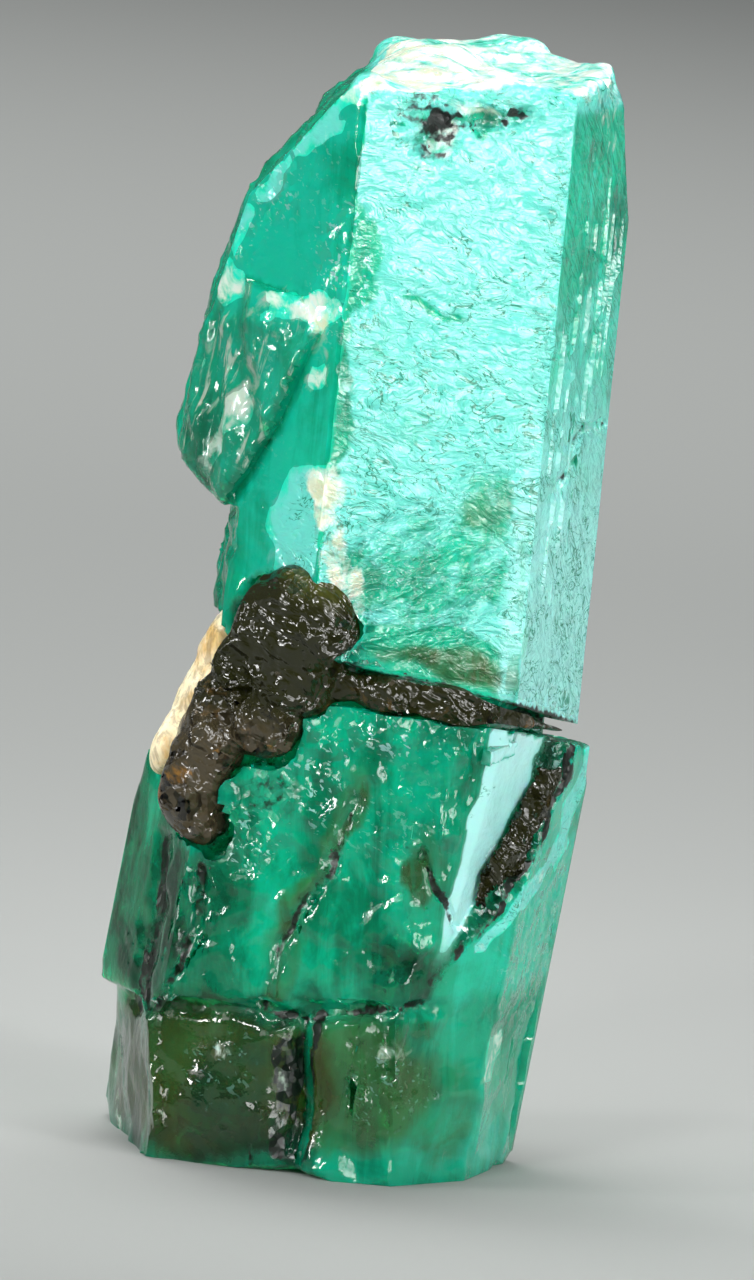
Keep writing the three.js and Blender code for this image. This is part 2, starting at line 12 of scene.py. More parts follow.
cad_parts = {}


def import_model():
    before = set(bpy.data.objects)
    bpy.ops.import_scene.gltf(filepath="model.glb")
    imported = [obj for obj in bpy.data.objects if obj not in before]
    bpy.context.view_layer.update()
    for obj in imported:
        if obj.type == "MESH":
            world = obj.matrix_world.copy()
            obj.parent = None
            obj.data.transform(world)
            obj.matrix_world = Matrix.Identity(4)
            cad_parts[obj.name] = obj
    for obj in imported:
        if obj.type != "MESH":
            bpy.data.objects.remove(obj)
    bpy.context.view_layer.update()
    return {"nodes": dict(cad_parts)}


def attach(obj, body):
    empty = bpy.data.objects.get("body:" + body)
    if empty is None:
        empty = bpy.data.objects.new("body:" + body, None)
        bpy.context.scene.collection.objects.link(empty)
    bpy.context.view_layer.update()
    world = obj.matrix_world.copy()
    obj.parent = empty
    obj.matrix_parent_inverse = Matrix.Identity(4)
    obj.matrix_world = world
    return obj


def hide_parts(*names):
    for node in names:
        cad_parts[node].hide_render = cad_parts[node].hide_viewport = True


bl_info = {
    "name": "Emerald crystal",
    "version": (1, 0, 0),
    "blender": (4, 5, 0),
    "location": "View3D > Sidebar > Emerald",
    "description": "Builds an etched emerald crystal with mica and feldspar",
    "category": "Object",
}

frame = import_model()

MM = 0.001

# The view: a long lens, a little above level, rolled to the left
IMAGE_HEIGHT = 1280
MM_PER_PIXEL = 0.024
VIEW_RISE = math.radians(7)
VIEW_ROLL = math.radians(5.7)
VIEW_TARGET = (0.145, 0.0, 12.457)
VIEW_DISTANCE = 320.0
SENSOR = 36.0
NEAREST_SEEN = 10.0
FARTHEST_SEEN = 5000.0
FLOOR_REACH = 1500.0
LIGHT_TARGET = (0, 0, 13)
WASH_TARGET = (-20, 190, 0)

# The dome of mica at the top of the hollow: its middle and half sizes, across and up,
# the directions that its outline is fitted in, and how far and which way it is pushed out
DOME_MIDDLE = (-1.77, 12.4)
DOME_HALF = (1.5, 2.1)
DOME_SECTORS = 25
DOME_AZIMUTH = -107
DOME_PUSH = 0.4

# Faces of the crystal: the direction that each looks in, in degrees from +X
BROAD_FACE = -77
STRIATED_FACE = -17
LEFT_FACE = -137
STRIP_FACE = -60
LEFT_SLAB = 204
RIGHT_SLABS = (-42, -17)
BACK_FACES = (43, 103, 163)
FRONT_REACH = 4.5
FROSTED_FROM = 0.45

# The healed break: how it slopes along X and Y, and its height on the axis; and the broken top
BREAK_SLOPE = (0.1, 0.13)
BREAK_HEIGHT = 11.25
TOP_FROM = (25.6, 26.3)

# Depths of finer forms, in millimetres
SEAM_EDGE_DEPTH = 0.32
POCK_DEPTH = 0.22
CRACK_DEPTH = 0.12
STRIP_RIPPLE = 0.02
FILM_RELIEF = 0.16

# Rounds of smoothing for each kind of form
BROKEN_ROUNDS = 4
LUMPY_ROUNDS = 8
CREST_ROUNDS = 24
PIT_ROUNDS = 60
MICA_ROUNDS = 6
HEAD_ROUNDS = 380
TOE_ROUNDS = 160
BAND_END_ROUNDS = 60
FELDSPAR_ROUNDS = 40

# Share of the remeshing grid that a piece fills, and the angle at which edges stay sharp
GRID_SHARE = 0.99
EMERALD_GRID_SHARE = 0.9
FELDSPAR_FINENESS = 6
EMERALD_SHARP = 40
MICA_SHARP = 35
FELDSPAR_SHARP = 45

BERYL_IOR = 1.58
MICA_IOR = 1.6
FLAKE_IOR = 1.65

# Light that spreads under the surface: its share, its reach by colour, and the scale of that
BERYL_GLOW = {
    "Subsurface Weight": 0.4,
    "Subsurface Radius": (0.2, 1.0, 0.7),
    "Subsurface Scale": 0.6 * MM,
}
FELDSPAR_GLOW = {
    "Subsurface Weight": 0.35,
    "Subsurface Radius": (1.0, 0.7, 0.4),
    "Subsurface Scale": 0.5 * MM,
}

PER_SQUARE_METRE = 1e4

# Numbers that mix a lattice point into a repeatable noise, and the points around a place
HASH = (73856093, 19349663, 83492791, 2654435761, 1274126177)
HASH_MASK = 0xFFFFFF
CORNERS = [np.array(corner) for corner in itertools.product((0, 1), repeat=3)]
NEIGHBOURS = [np.array(step) for step in itertools.product((-1, 0, 1), repeat=3)]


def colour(name, text, value):
    return FloatVectorProperty(
        name=name, description=text, subtype="COLOR", size=3, min=0.0, max=1.0, default=value
    )


def millimetres(name, text, value):
    return FloatProperty(
        name=name,
        description=text,
        default=value * MM,
        min=0.0,
        unit="LENGTH",
        subtype="DISTANCE",
        precision=5,
    )


def fraction(name, text, value):
    return FloatProperty(
        name=name, description=text, default=value, min=0.0, max=1.0, subtype="FACTOR"
    )


def amount(name, text, value):
    return FloatProperty(name=name, description=text, default=value, min=0.0)


def whole(name, text, value, low, high):
    return IntProperty(name=name, description=text, default=value, min=low, max=high)


class EmeraldSettings(bpy.types.PropertyGroup):
    fineness: whole("Fineness", "Octree depth of the remeshed crystal", 8, 5, 8)
    etch_depth: millimetres("Etch depth", "Depth of the wrinkles on the broad face", 0.05)
    striation_depth: millimetres("Striation depth", "Depth of the growth lines", 0.025)
    lump_relief: millimetres("Lump relief", "Relief of the rough scab and the top", 0.5)
    break_relief: millimetres("Break relief", "Relief of the broken surfaces", 0.2)
    dark: colour("Dark green", "Beryl in deep shade", (0.001, 0.05, 0.026))
    deep: colour("Deep green", "Clear beryl", (0.0, 0.23, 0.125))
    body: colour("Body green", "Beryl with fine inclusions", (0.001, 0.57, 0.34))
    bright: colour("Bright green", "Beryl lit from inside", (0.012, 0.83, 0.58))
    olive: colour("Olive green", "Beryl beside the veins and in the foot", (0.055, 0.25, 0.085))
    # Mint of the etched faces: partly their frosted skin, partly a painted sheen
    skin: colour("Etched skin", "Frosted mint of the etched faces", (0.15, 0.77, 0.66))
    cream: colour("Cream", "Cream tint in the milky veils", (0.74, 0.8, 0.56))
    # Pale mint: painted sheen on the smooth strip and on the lower part of the striated face
    pale: colour("Pale mint", "Pale mint of the smooth strip", (0.52, 0.95, 0.92))
    milk: colour("Milky veil", "Pearly white veils and bruises", (0.8, 0.92, 0.8))
    # Pearly white of the milky veils, also used for painted highlights on the slab's rim and in the
    # pits
    veil: colour("Grey veil", "Grey-green of the bruised scab", (0.04, 0.2, 0.13))
    stain: colour("Iron stain", "Olive stain in cracks", (0.06, 0.075, 0.008))
    # Black of the mica dust; the same black paints the shadow in the left crack
    soot: colour("Mica dust", "Black mica dust in cracks and pits", (0.004, 0.008, 0.005))
    clarity: fraction("Clarity", "Share of light that passes through the surface", 0.6)
    frosted_clarity: fraction("Frosted clarity", "The same, of etched and bruised skin", 0.2)
    clear_gloss: fraction("Clear gloss", "Specular level of the clear finish", 0.25)
    frosted_gloss: fraction("Frosted gloss", "Specular level of the frosted finish", 0.9)
    inner_green: colour("Inner green", "Light that beryl lets through", (0.03, 0.86, 0.6))
    inner_density: amount("Inner density", "How strongly beryl absorbs, per metre", 260.0)


class MicaSettings(bpy.types.PropertyGroup):
    fineness: whole("Fineness", "Octree depth of the remeshed mica", 7, 4, 8)
    relief: millimetres("Relief", "Relief of the mica's broken skin", 0.3)
    flake: millimetres("Flake size", "Radius of a mica flake", 0.11)
    flakes: whole("Flakes", "Flakes per square centimetre", 350, 0, 2000)
    dark: colour("Dark mica", "Olive-black mica", (0.013, 0.014, 0.003))
    olive: colour("Olive mica", "Thin edges of the mica", (0.05, 0.055, 0.007))
    brown: colour("Brown mica", "Weathered brown mica", (0.05, 0.04, 0.022))
    amber: colour("Amber", "Amber edges", (0.35, 0.16, 0.02))


class FeldsparSettings(bpy.types.PropertyGroup):
    relief: millimetres("Relief", "Relief of the fibres", 0.09)
    cream: colour("Cream", "Fresh feldspar", (1.0, 0.88, 0.6))
    ochre: colour("Ochre", "Stained feldspar", (0.75, 0.5, 0.18))
    groove: colour("Groove", "Brown grooves between the fibres", (0.2, 0.12, 0.03))
    ridge: colour("Ridge", "Pale ridges of the fibres", (0.9, 0.84, 0.66))


class StageSettings(bpy.types.PropertyGroup):
    floor: colour("Floor", "Pale floor", (0.28, 0.29, 0.28))
    sky: colour("Sky", "Colour of the plain surroundings", (0.86, 0.9, 0.92))
    softness: amount("Softbox brightness", "Multiplies the brightness of every softbox", 1.0)
    air: amount("Surroundings", "Strength of the plain surroundings", 0.12)


def direction(azimuth, rise=0.0):
    """Unit vector towards an azimuth and a rise, both in degrees."""
    level = math.cos(math.radians(rise))
    return np.array(
        (
            level * math.cos(math.radians(azimuth)),
            level * math.sin(math.radians(azimuth)),
            math.sin(math.radians(rise)),
        )
    )


def ramp(value, low, high):
    """0 below low, 1 above high, smooth between."""
    t = np.clip((value - low) / (high - low), 0.0, 1.0)
    return t * t * (3 - 2 * t)


def lattice(cell, seed):
    """A repeatable number from -1 to 1 for each whole-number lattice point."""
    i, j, k = (cell[:, axis].astype(np.int64) for axis in range(3))
    mixed = (i * HASH[0]) ^ (j * HASH[1]) ^ (k * HASH[2]) ^ (seed * HASH[3])
    mixed = (mixed ^ (mixed >> 13)) * HASH[4]
    mixed = (mixed ^ (mixed >> 16)) & HASH_MASK
    return mixed / (HASH_MASK >> 1) - 1.0


def swell(points, size, seed):
    """Smooth noise from -1 to 1, with bumps of about size."""
    p = points / size
    base = np.floor(p)
    t = p - base
    t = t * t * (3 - 2 * t)
    total = np.zeros(len(p))
    for corner in CORNERS:
        share = np.where(corner, t, 1 - t)
        total += share[:, 0] * share[:, 1] * share[:, 2] * lattice(base + corner, seed)
    return total


def rubble(points, size, seed, octaves=4):
    """Swells of halving size on top of each other."""
    total = np.zeros(len(points))
    for octave in range(octaves):
        total += swell(points, size / 2**octave, seed + octave) / 2**octave
    return total / 1.6


def scallops(points, size, seed):
    """Shell-shaped hollows of a glassy break: 0 in a hollow's middle, 1 on the ridges."""
    p = points / size
    base = np.floor(p)
    nearest = np.full(len(p), 9.0)
    for step in NEIGHBOURS:
        cell = base + step
        shift = [lattice(cell, seed + axis) for axis in (0, 1, 2)]
        centre = cell + 0.5 + 0.45 * np.stack(shift, axis=1)
        nearest = np.minimum(nearest, ((p - centre) ** 2).sum(axis=1))
    return np.clip(nearest / 0.6, 0.0, 1.3)


def warped(points, size, reach, seed):
    """Points shifted by smooth noise, so that what is drawn on them gets ragged edges."""
    shift = [swell(points, size, seed + axis) for axis in range(points.shape[1])]
    return points + reach * np.stack(shift, axis=1)


def seen(points):
    """Points as they look from the front and a little above: across and up, in millimetres."""
    up = points[:, 2] * math.cos(VIEW_RISE)
    up = up + (points[:, 1] + FRONT_REACH) * math.sin(VIEW_RISE)
    return np.stack((points[:, 0], up), axis=1)


def spot(place, centre, radii, turn=0.0):
    """1 inside an ellipse of the front elevation, fading to 0 outside it."""
    a = math.radians(turn)
    off = place - np.array(centre)
    across = (off[:, 0] * math.cos(a) + off[:, 1] * math.sin(a)) / radii[0]
    along = (off[:, 1] * math.cos(a) - off[:, 0] * math.sin(a)) / radii[1]
    return 1 - ramp(np.hypot(across, along), 0.6, 1.35)


def painted(place, patches):
    """Sum of patches, each of them across, up, half width, half height, turn and strength."""
    total = np.zeros(len(place))
    for across, up, wide, high, turn, strength in patches:
        total += strength * spot(place, (across, up), (wide, high), turn)
    return total


def stroke(place, points, width):
    """1 on a line through points of the front elevation, fading to 0 at width."""
    nearest = np.full(len(place), 1e9)
    for start, end in zip(points, points[1:]):
        a, b = np.array(start), np.array(end)
        t = np.clip(((place - a) @ (b - a)) / ((b - a) @ (b - a)), 0, 1)
        nearest = np.minimum(nearest, np.linalg.norm(place - a - t[:, None] * (b - a), axis=1))
    return 1 - ramp(nearest, width * 0.3, width)


def beside(place, line):
    """How far points lie to the right of a line that is given from its top down."""
    across, up = zip(*reversed(line))
    return place[:, 0] - np.interp(place[:, 1], up, across)


def eased(mesh, share, rounds):
    """Rounds the mesh off where share is above 0."""
    first, second = ends_of(mesh)
    place, _ = corners_of(mesh)
    count = np.bincount(np.concatenate((first, second)), minlength=len(place))
    for _ in range(rounds):
        total = np.zeros_like(place)
        for axis in range(3):
            total[:, axis] += np.bincount(first, place[second, axis], len(place))
            total[:, axis] += np.bincount(second, place[first, axis], len(place))
        place += 0.5 * share[:, None] * (total / count[:, None] - place)
    set_corners(mesh, place)


def ends_of(mesh):
    """The two corners of each edge, as two rows."""
    ends = np.zeros(len(mesh.edges) * 2, dtype=np.int32)
    mesh.edges.foreach_get("vertices", ends)
    return ends.reshape(-1, 2).T


def spread(mesh, values, rounds):
    """Grows the places where values are high, by one edge in each round."""
    first, second = ends_of(mesh)
    grown = values.copy()
    for _ in range(rounds):
        source = grown.copy()
        np.maximum.at(grown, first, source[second])
        np.maximum.at(grown, second, source[first])
    return grown


def domed(place, share):
    """Fits the outline of the points, as it looks from the front, to the mica's dome."""
    across = (place[:, 0] - DOME_MIDDLE[0]) / DOME_HALF[0]
    up = (place[:, 2] - DOME_MIDDLE[1]) / DOME_HALF[1]
    reach = np.hypot(across, up)
    angle = np.arctan2(up, across)
    sectors = np.linspace(0, math.pi, DOME_SECTORS)
    nearest = np.clip(np.round(angle / (sectors[1] - sectors[0])), 0, DOME_SECTORS - 1).astype(int)
    farthest = np.full(DOME_SECTORS, 0.5)
    above = up > 0
    np.maximum.at(farthest, nearest[above], reach[above])
    fit = 1 / np.interp(angle, sectors, farthest)
    scale = 1 + share * ramp(up, 0.0, 0.3) * (fit - 1)
    place[:, 0] = DOME_MIDDLE[0] + DOME_HALF[0] * across * scale
    place[:, 2] = DOME_MIDDLE[1] + DOME_HALF[1] * up * scale
    return place


def merged_copy(name, node):
    """A new object with the merged mesh of a CAD node."""
    bm = bmesh.new()
    bm.from_mesh(frame["nodes"][node].data)
    bmesh.ops.remove_doubles(bm, verts=bm.verts, dist=0.002 * MM)
    bmesh.ops.recalc_face_normals(bm, faces=bm.faces)
    mesh = bpy.data.meshes.new(name)
    bm.to_mesh(mesh)
    bm.free()
    piece = bpy.data.objects.new(name, mesh)
    bpy.context.scene.collection.objects.link(piece)
    return piece


def applied(piece):
    """Applies the object's modifiers to its mesh."""
    bpy.context.view_layer.update()
    depsgraph = bpy.context.evaluated_depsgraph_get()
    mesh = bpy.data.meshes.new_from_object(piece.evaluated_get(depsgraph), depsgraph=depsgraph)
    piece.modifiers.clear()
    old, piece.data = piece.data, mesh
    mesh.name = piece.name
    bpy.data.meshes.remove(old)
    return piece


def remeshed(piece, depth, share=GRID_SHARE):
    """Even small faces: 2**depth of them along the piece's longest side, times share."""
    remesh = piece.modifiers.new("Remesh", "REMESH")
    remesh.mode = "SHARP"
    remesh.octree_depth = depth
    remesh.scale = share
    remesh.sharpness = 1.0
    remesh.use_remove_disconnected = True
    return applied(piece)


def corners_of(mesh):
    """Corner places in millimetres, and corner normals."""
    count = len(mesh.vertices)
    place = np.zeros(count * 3)
    normal = np.zeros(count * 3)
    mesh.vertices.foreach_get("co", place)
    mesh.vertices.foreach_get("normal", normal)
    return place.reshape(-1, 3) / MM, normal.reshape(-1, 3)


def set_corners(mesh, place):
    mesh.vertices.foreach_set("co", (place * MM).ravel())
    mesh.update()


def record(mesh, **shares):
    """Keeps shares from 0 to 1 on the mesh, for its materials and flakes."""
    for name, values in shares.items():
        attribute = mesh.attributes.new(name, "FLOAT", "POINT")
        attribute.data.foreach_set("value", np.clip(values, 0, 1).astype(np.float32))


def split_finishes(mesh, above):
    """Moves corners onto the line where above is 0. Faces over it get the second material."""
    bm = bmesh.new()
    bm.from_mesh(mesh)
    bmesh.ops.triangulate(bm, faces=bm.faces)
    bm.to_mesh(mesh)
    bm.free()
    first, second = ends_of(mesh)
    place, _ = corners_of(mesh)
    crossing = (above[first] > 0) != (above[second] > 0)
    first, second = first[crossing], second[crossing]
    share = above[first] / (above[first] - above[second])
    target = place[first] + share[:, None] * (place[second] - place[first])
    mover = np.where(share < 0.5, first, second)
    count = np.bincount(mover, minlength=len(place))
    border = count > 0
    for axis in range(3):
        total = np.bincount(mover, target[:, axis], len(place))
        place[border, axis] = total[border] / count[border]
    set_corners(mesh, place)
    side = np.where(border, 0.0, np.sign(above))
    corners = np.zeros(len(mesh.loops), dtype=np.int32)
    mesh.loops.foreach_get("vertex_index", corners)
    finish = side[corners.reshape(-1, 3)].sum(axis=1) > 0
    mesh.polygons.foreach_set("material_index", finish.astype(np.int32))


def smooth_shade(mesh, angle):
    mesh.shade_smooth()
    mesh.set_sharp_from_angle(angle=math.radians(angle))


def finish_piece(piece, node):
    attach(piece, "root")
    if node:
        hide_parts(node)


class Nodes:
    """Adds nodes to a tree, one call for each node."""

    def __init__(self, tree):
        self.tree = tree

    def add(self, kind, values=(), **settings):
        node = self.tree.nodes.new(kind)
        for key, value in settings.items():
            setattr(node, key, value)
        for socket, value in dict(values).items():
            if isinstance(value, bpy.types.NodeSocket):
                self.tree.links.new(value, node.inputs[socket])
            else:
                node.inputs[socket].default_value = value
        return node

    def math(self, operation, first, second=0.0):
        return self.add("ShaderNodeMath", {0: first, 1: second}, operation=operation).outputs[0]

    def times(self, first, second):
        return self.math("MULTIPLY", first, second)

    def plus(self, first, second):
        return self.math("ADD", first, second)

    def minus(self, first, second):
        return self.math("SUBTRACT", first, second)

    def vector(self, operation, values):
        return self.add("ShaderNodeVectorMath", values, operation=operation).outputs[0]

    def layers(self, look, *coats):
        """Lays coats over a colour, each of them a share and a colour."""
        for share, coat in coats:
            pair = [
                tint if isinstance(tint, bpy.types.NodeSocket) else (*tint[:3], 1.0)
                for tint in (look, coat)
            ]
            values = {0: share, 6: pair[0], 7: pair[1]}
            look = self.add("ShaderNodeMix", values, data_type="RGBA").outputs[2]
        return look

    def between(self, value, low, high, start=0.0, end=1.0):
        return self.add(
            "ShaderNodeMapRange",
            {"Value": value, "From Min": low, "From Max": high, "To Min": start, "To Max": end},
            interpolation_type="SMOOTHSTEP",
        ).outputs[0]

    def attributes(self, *names):
        return [
            self.add("ShaderNodeAttribute", attribute_name=name).outputs["Fac"] for name in names
        ]

    def coordinates(self, scale=(1, 1, 1), turn=(0, 0, 0)):
        """Object coordinates in millimetres, turned and stretched."""
        place = self.add("ShaderNodeTexCoord").outputs["Object"]
        for values in (
            {"Rotation": [math.radians(angle) for angle in turn]},
            {"Scale": [share / MM for share in scale]},
        ):
            place = self.add("ShaderNodeMapping", {"Vector": place, **values}).outputs[0]
        return place

    def noise(self, vector, scale, detail=3.0, rough=0.55, distortion=0.0):
        values = {"Vector": vector, "Scale": scale, "Detail": detail}
        values |= {"Roughness": rough, "Distortion": distortion}
        return self.add("ShaderNodeTexNoise", values).outputs["Fac"]

    def scattered(self, kind, vector, scale):
        """A texture's colours as vectors, each part from -0.5 to 0.5."""
        tint = self.add(kind, {"Vector": vector, "Scale": scale}).outputs["Color"]
        return self.vector("SUBTRACT", {0: tint, 1: (0.5, 0.5, 0.5)})

    def warp(self, vector, scale, reach):
        """Coordinates pushed about by a noise, so that cells get winding edges."""
        push = self.scattered("ShaderNodeTexNoise", vector, scale)
        return self.vector("MULTIPLY_ADD", {0: push, 1: (reach, reach, reach), 2: vector})

    def bumps(self, normal, *heights):
        """Relief on a normal, each of it a height, a strength and a depth in millimetres."""
        for height, strength, depth in heights:
            values = {"Strength": strength, "Distance": depth * MM, "Height": height}
            if normal is not None:
                values["Normal"] = normal
            normal = self.add("ShaderNodeBump", values).outputs[0]
        return normal

    def facets(self, normal, *breaks):
        """Tips a normal in each small cell: coordinates, number of cells and amount of tilt."""
        for vector, scale, tilt in breaks:
            tip = self.scattered("ShaderNodeTexVoronoi", vector, scale)
            tip = self.vector("SCALE", {0: tip, "Scale": tilt})
            normal = self.vector("NORMALIZE", {0: self.vector("ADD", {0: normal, 1: tip})})
        return normal

    def end(self, values, volume=None):
        """Ends a material in its shader."""
        ends = {"Surface": self.add("ShaderNodeBsdfPrincipled", values).outputs[0]}
        if volume is not None:
            ends["Volume"] = volume
        self.add("ShaderNodeOutputMaterial", ends)


def new_material(name):
    material = bpy.data.materials.new(name)
    material.use_nodes = True
    material.node_tree.nodes.clear()
    return material, Nodes(material.node_tree)


def emerald_material(settings, name, clarity, gloss):
    """Beryl: clear enough to see into, or frosted, with the same colours and relief."""
    material, make = new_material(name)
    times, plus, minus = make.times, make.plus, make.minus
    between, noise, warp, coordinates = make.between, make.noise, make.warp, make.coordinates
    skin, etched, crumpled, striated, broken = make.attributes(
        "skin", "etched", "crumpled", "striated", "broken"
    )
    tone, milk, glitter, stain, soot = make.attributes("tone", "milk", "glitter", "stain", "soot")
    streaky, pale, creamy, olive = make.attributes("streaky", "pale", "creamy", "olive")

    def line(pattern, low, high):
        """1 on the winding lines where a noise passes its middle, 0 off them."""
        away = make.math("ABSOLUTE", minus(pattern, 0.5))
        return minus(1.0, between(away, low, high))

    def share(mask, pattern, weight, low, high):
        """Where a mask shows through, with a ragged edge made by a noise."""
        return between(plus(mask, times(minus(pattern, 0.5), weight)), low, high)

    # Patterns, on coordinates that lean and stretch as the real marks do
    even = coordinates()
    slanted = warp(coordinates((0.85, 0.85, 1.7), (0, -8, 0)), 0.45, 1.6)
    rising = warp(coordinates((0.8, 0.8, 2.2), (0, 24, 0)), 0.8, 0.9)
    combed = warp(coordinates((2.2, 2.2, 0.3), (-50, 0, 0)), 0.6, 0.7)
    upright = coordinates((2.6, 2.6, 0.3), (0, 3, 0))
    leaning = coordinates((2.4, 2.4, 0.45), (0, -16, 0))
    flecked = coordinates((1, 1, 1.6), (0, -27, 0))
    crumple = noise(slanted, 2.9, 3.0, 0.55, 0.8)
    folds = noise(rising, 1.3, 3.0, 0.6, 0.8)
    grain = noise(even, 4.5, 2.0, 0.6)
    hackle = noise(even, 1.5, 5.0, 0.6, 0.6)
    shells = noise(even, 1.1, 2.0, 0.5, 0.5)
    cloud = noise(even, 0.42, 5.0, 0.62, 0.8)
    fibre = noise(upright, 0.55, 5.0, 0.66, 0.8)
    streaks = noise(leaning, 1.0, 4.0, 0.65, 0.8)
    fleck = between(noise(flecked, 4.4, 2.0, 0.6, 0.5), 0.6, 0.66)
    # Creases of the etched skin: bumped in, and painted deep green as shade down them
    crease_line = line(noise(slanted, 1.7, 3.0, 0.55, 1.0), 0.003, 0.026)
    crease_from_etching = times(minus(etched, 0.8), 0.35)
    crease_zone = between(plus(noise(even, 0.9, 4.0, 0.72), crease_from_etching), 0.42, 0.52)
    shaded_crease = times(times(crease_line, crease_zone), skin)
    growth = noise(combed, 1.0, 3.0, 0.6, 0.8)
    growth_zone = between(noise(even, 0.9, 2.0), 0.4, 0.56)
    growth_line = times(times(line(growth, 0.0, 0.03), growth_zone), striated)

    # Colour: greens by tone, which holds painted light and shade besides the beryl's own depth of
    # colour, then the etched skin with its painted sheen, painted glints, veils, stains and mica
    # dust with painted shadow
    depth = plus(tone, times(minus(cloud, 0.5), 1.2))
    depth = plus(depth, times(minus(fibre, 0.5), 1.0))
    murky = make.layers(settings.stain, (between(depth, 0.0, 0.7), settings.olive))
    pearl = make.layers(settings.milk, (share(creamy, hackle, 2.0, 0.3, 1.0), settings.cream))
    patchy = minus(1.5, times(striated, 1.2))
    look = make.layers(
        settings.dark,
        (between(depth, 0.0, 0.3), settings.deep),
        (between(depth, 0.28, 0.72), settings.body),
        (between(depth, 0.7, 1.05), settings.bright),
        (share(olive, cloud, 1.4, 0.2, 0.9), murky),
        # Etched skin, its mint partly a painted sheen
        (share(skin, hackle, patchy, 0.35, 0.75), settings.skin),
        # Painted sheen: pale mint on the strip and the lower striated face
        (pale, settings.pale),
        # Painted shade down the creases
        (times(shaded_crease, 0.95), settings.deep),
        (times(growth_line, 0.75), settings.deep),
        (share(milk, hackle, 2.2, 0.4, 0.95), pearl),
        (times(streaky, 0.45), settings.veil),
        (times(between(streaks, 0.56, 0.68), streaky), settings.milk),
        # Painted glints: pale mint specks where the surface glitters
        (times(fleck, glitter), settings.pale),
        (share(stain, fibre, 1.6, 0.3, 0.95), settings.stain),
        (share(soot, grain, 1.0, 0.4, 0.7), settings.soot),
    )

    # Relief: soft first, then small tipped cells, then a fine grain
    ruggedness = plus(times(broken, 0.16), times(glitter, 0.2))
    tipping = plus(times(glitter, 0.75), times(soot, 1.2))
    tipping = plus(tipping, times(broken, 0.1))
    normal = make.bumps(
        None,
        (crumple, times(etched, 0.8), 0.15),
        (folds, crumpled, 0.3),
        (crease_line, times(shaded_crease, -0.9), 0.06),
        (growth, times(striated, 0.45), 0.2),
        (shells, ruggedness, 0.9),
    )
    normal = make.facets(
        normal,
        (warp(slanted, 1.1, 0.7), 3.4, times(etched, 0.26)),
        (rising, 2.6, times(crumpled, 0.8)),
        (warp(even, 1.3, 0.6), 4.0, tipping),
    )
    normal = make.bumps(normal, (grain, 0.3, 0.05))

    rough = plus(times(etched, 0.16), 0.07)
    for mask, weight in ((crumpled, -0.09), (milk, 0.12), (soot, 0.4), (grain, 0.04)):
        rough = plus(rough, times(mask, weight))
    inner = make.add(
        "ShaderNodeVolumeAbsorption",
        {"Color": (*settings.inner_green, 1.0), "Density": settings.inner_density},
    )
    make.end(
        {
            "Base Color": look,
            "Roughness": rough,
            "IOR": BERYL_IOR,
            "Specular IOR Level": gloss,
            "Normal": normal,
            "Transmission Weight": clarity,
            **BERYL_GLOW,
        },
        inner.outputs[0],
    )
    return material


def mica_material(settings):
    """Dark mica: wet-looking, broken into small tipped sheets, browner where it weathered."""
    material, make = new_material("dark_mica")
    times, plus, between = make.times, make.plus, make.between
    weathered, thin = make.attributes("weathered", "thin")
    even = make.coordinates()
    winding = make.warp(even, 1.2, 0.7)
    patches = make.noise(even, 1.0, 5.0, 0.65, 0.8)
    swells = make.noise(even, 0.9, 2.0, 0.5, 0.6)
    sheets = make.noise(make.coordinates((1, 1, 2.6), (25, -30, 0)), 1.2, 2.0, 0.5, 0.6)
    rubbly = between(plus(make.noise(even, 0.9, 3.0), times(weathered, 0.08)), 0.42, 0.56)
    amber_share = times(between(patches, 0.56, 0.7), 0.5)
    look = make.layers(
        settings.dark,
        (between(plus(weathered, patches), 0.75, 1.35), settings.brown),
        (between(plus(thin, make.minus(patches, 0.5)), 0.3, 0.9), settings.olive),
        (times(amber_share, weathered), settings.amber),
    )
    tipping = times(rubbly, plus(weathered, 1.1))
    normal = make.bumps(None, (swells, 0.9, 0.7), (sheets, 0.6, 0.35))
    normal = make.facets(
        normal, (winding, 2.0, times(tipping, 0.8)), (winding, 5.2, times(tipping, 0.6))
    )
    make.end(
        {
            "Base Color": look,
            "Roughness": between(patches, 0.35, 0.65, 0.09, 0.19),
            "IOR": MICA_IOR,
            "Normal": normal,
            "Specular IOR Level": 0.36,
        }
    )
    return material


def flake_material(settings):
    """Loose mica flakes, with a glassy coat that catches the light."""
    material, make = new_material("mica_flake")
    tone = make.noise(make.coordinates(), 4.0, 2.0)
    make.end(
        {
            "Base Color": make.layers(
                settings.dark, (make.between(tone, 0.4, 0.7), settings.brown)
            ),
            "Roughness": make.between(tone, 0.3, 0.7, 0.04, 0.2),
            "IOR": FLAKE_IOR,
            "Normal": make.bumps(None, (tone, 0.3, 0.05)),
            "Specular IOR Level": 1.0,
            "Coat Weight": 0.8,
            "Coat Roughness": 0.04,
        }
    )
    return material


def feldspar_material(settings):
    """Cream feldspar with ochre patches, grooved along its fibres."""
    material, make = new_material("cream_feldspar")
    times, between = make.times, make.between
    fibres = make.coordinates((3.5, 3.5, 0.6), (0, 22, 0))
    threads = make.noise(fibres, 1.6, 5.0, 0.65, 0.6)
    patches = make.noise(make.coordinates(), 0.9, 4.0, 0.6)
    look = make.layers(
        settings.cream,
        (between(patches, 0.42, 0.68), settings.ochre),
        (times(between(threads, 0.55, 0.4), 0.5), settings.groove),
        (times(between(threads, 0.55, 0.75), 0.6), settings.ridge),
    )
    make.end(
        {
            "Base Color": look,
            "Roughness": between(threads, 0.3, 0.7, 0.5, 0.28),
            "Normal": make.bumps(None, (threads, 0.8, 0.1)),
            **FELDSPAR_GLOW,
        }
    )
    return material


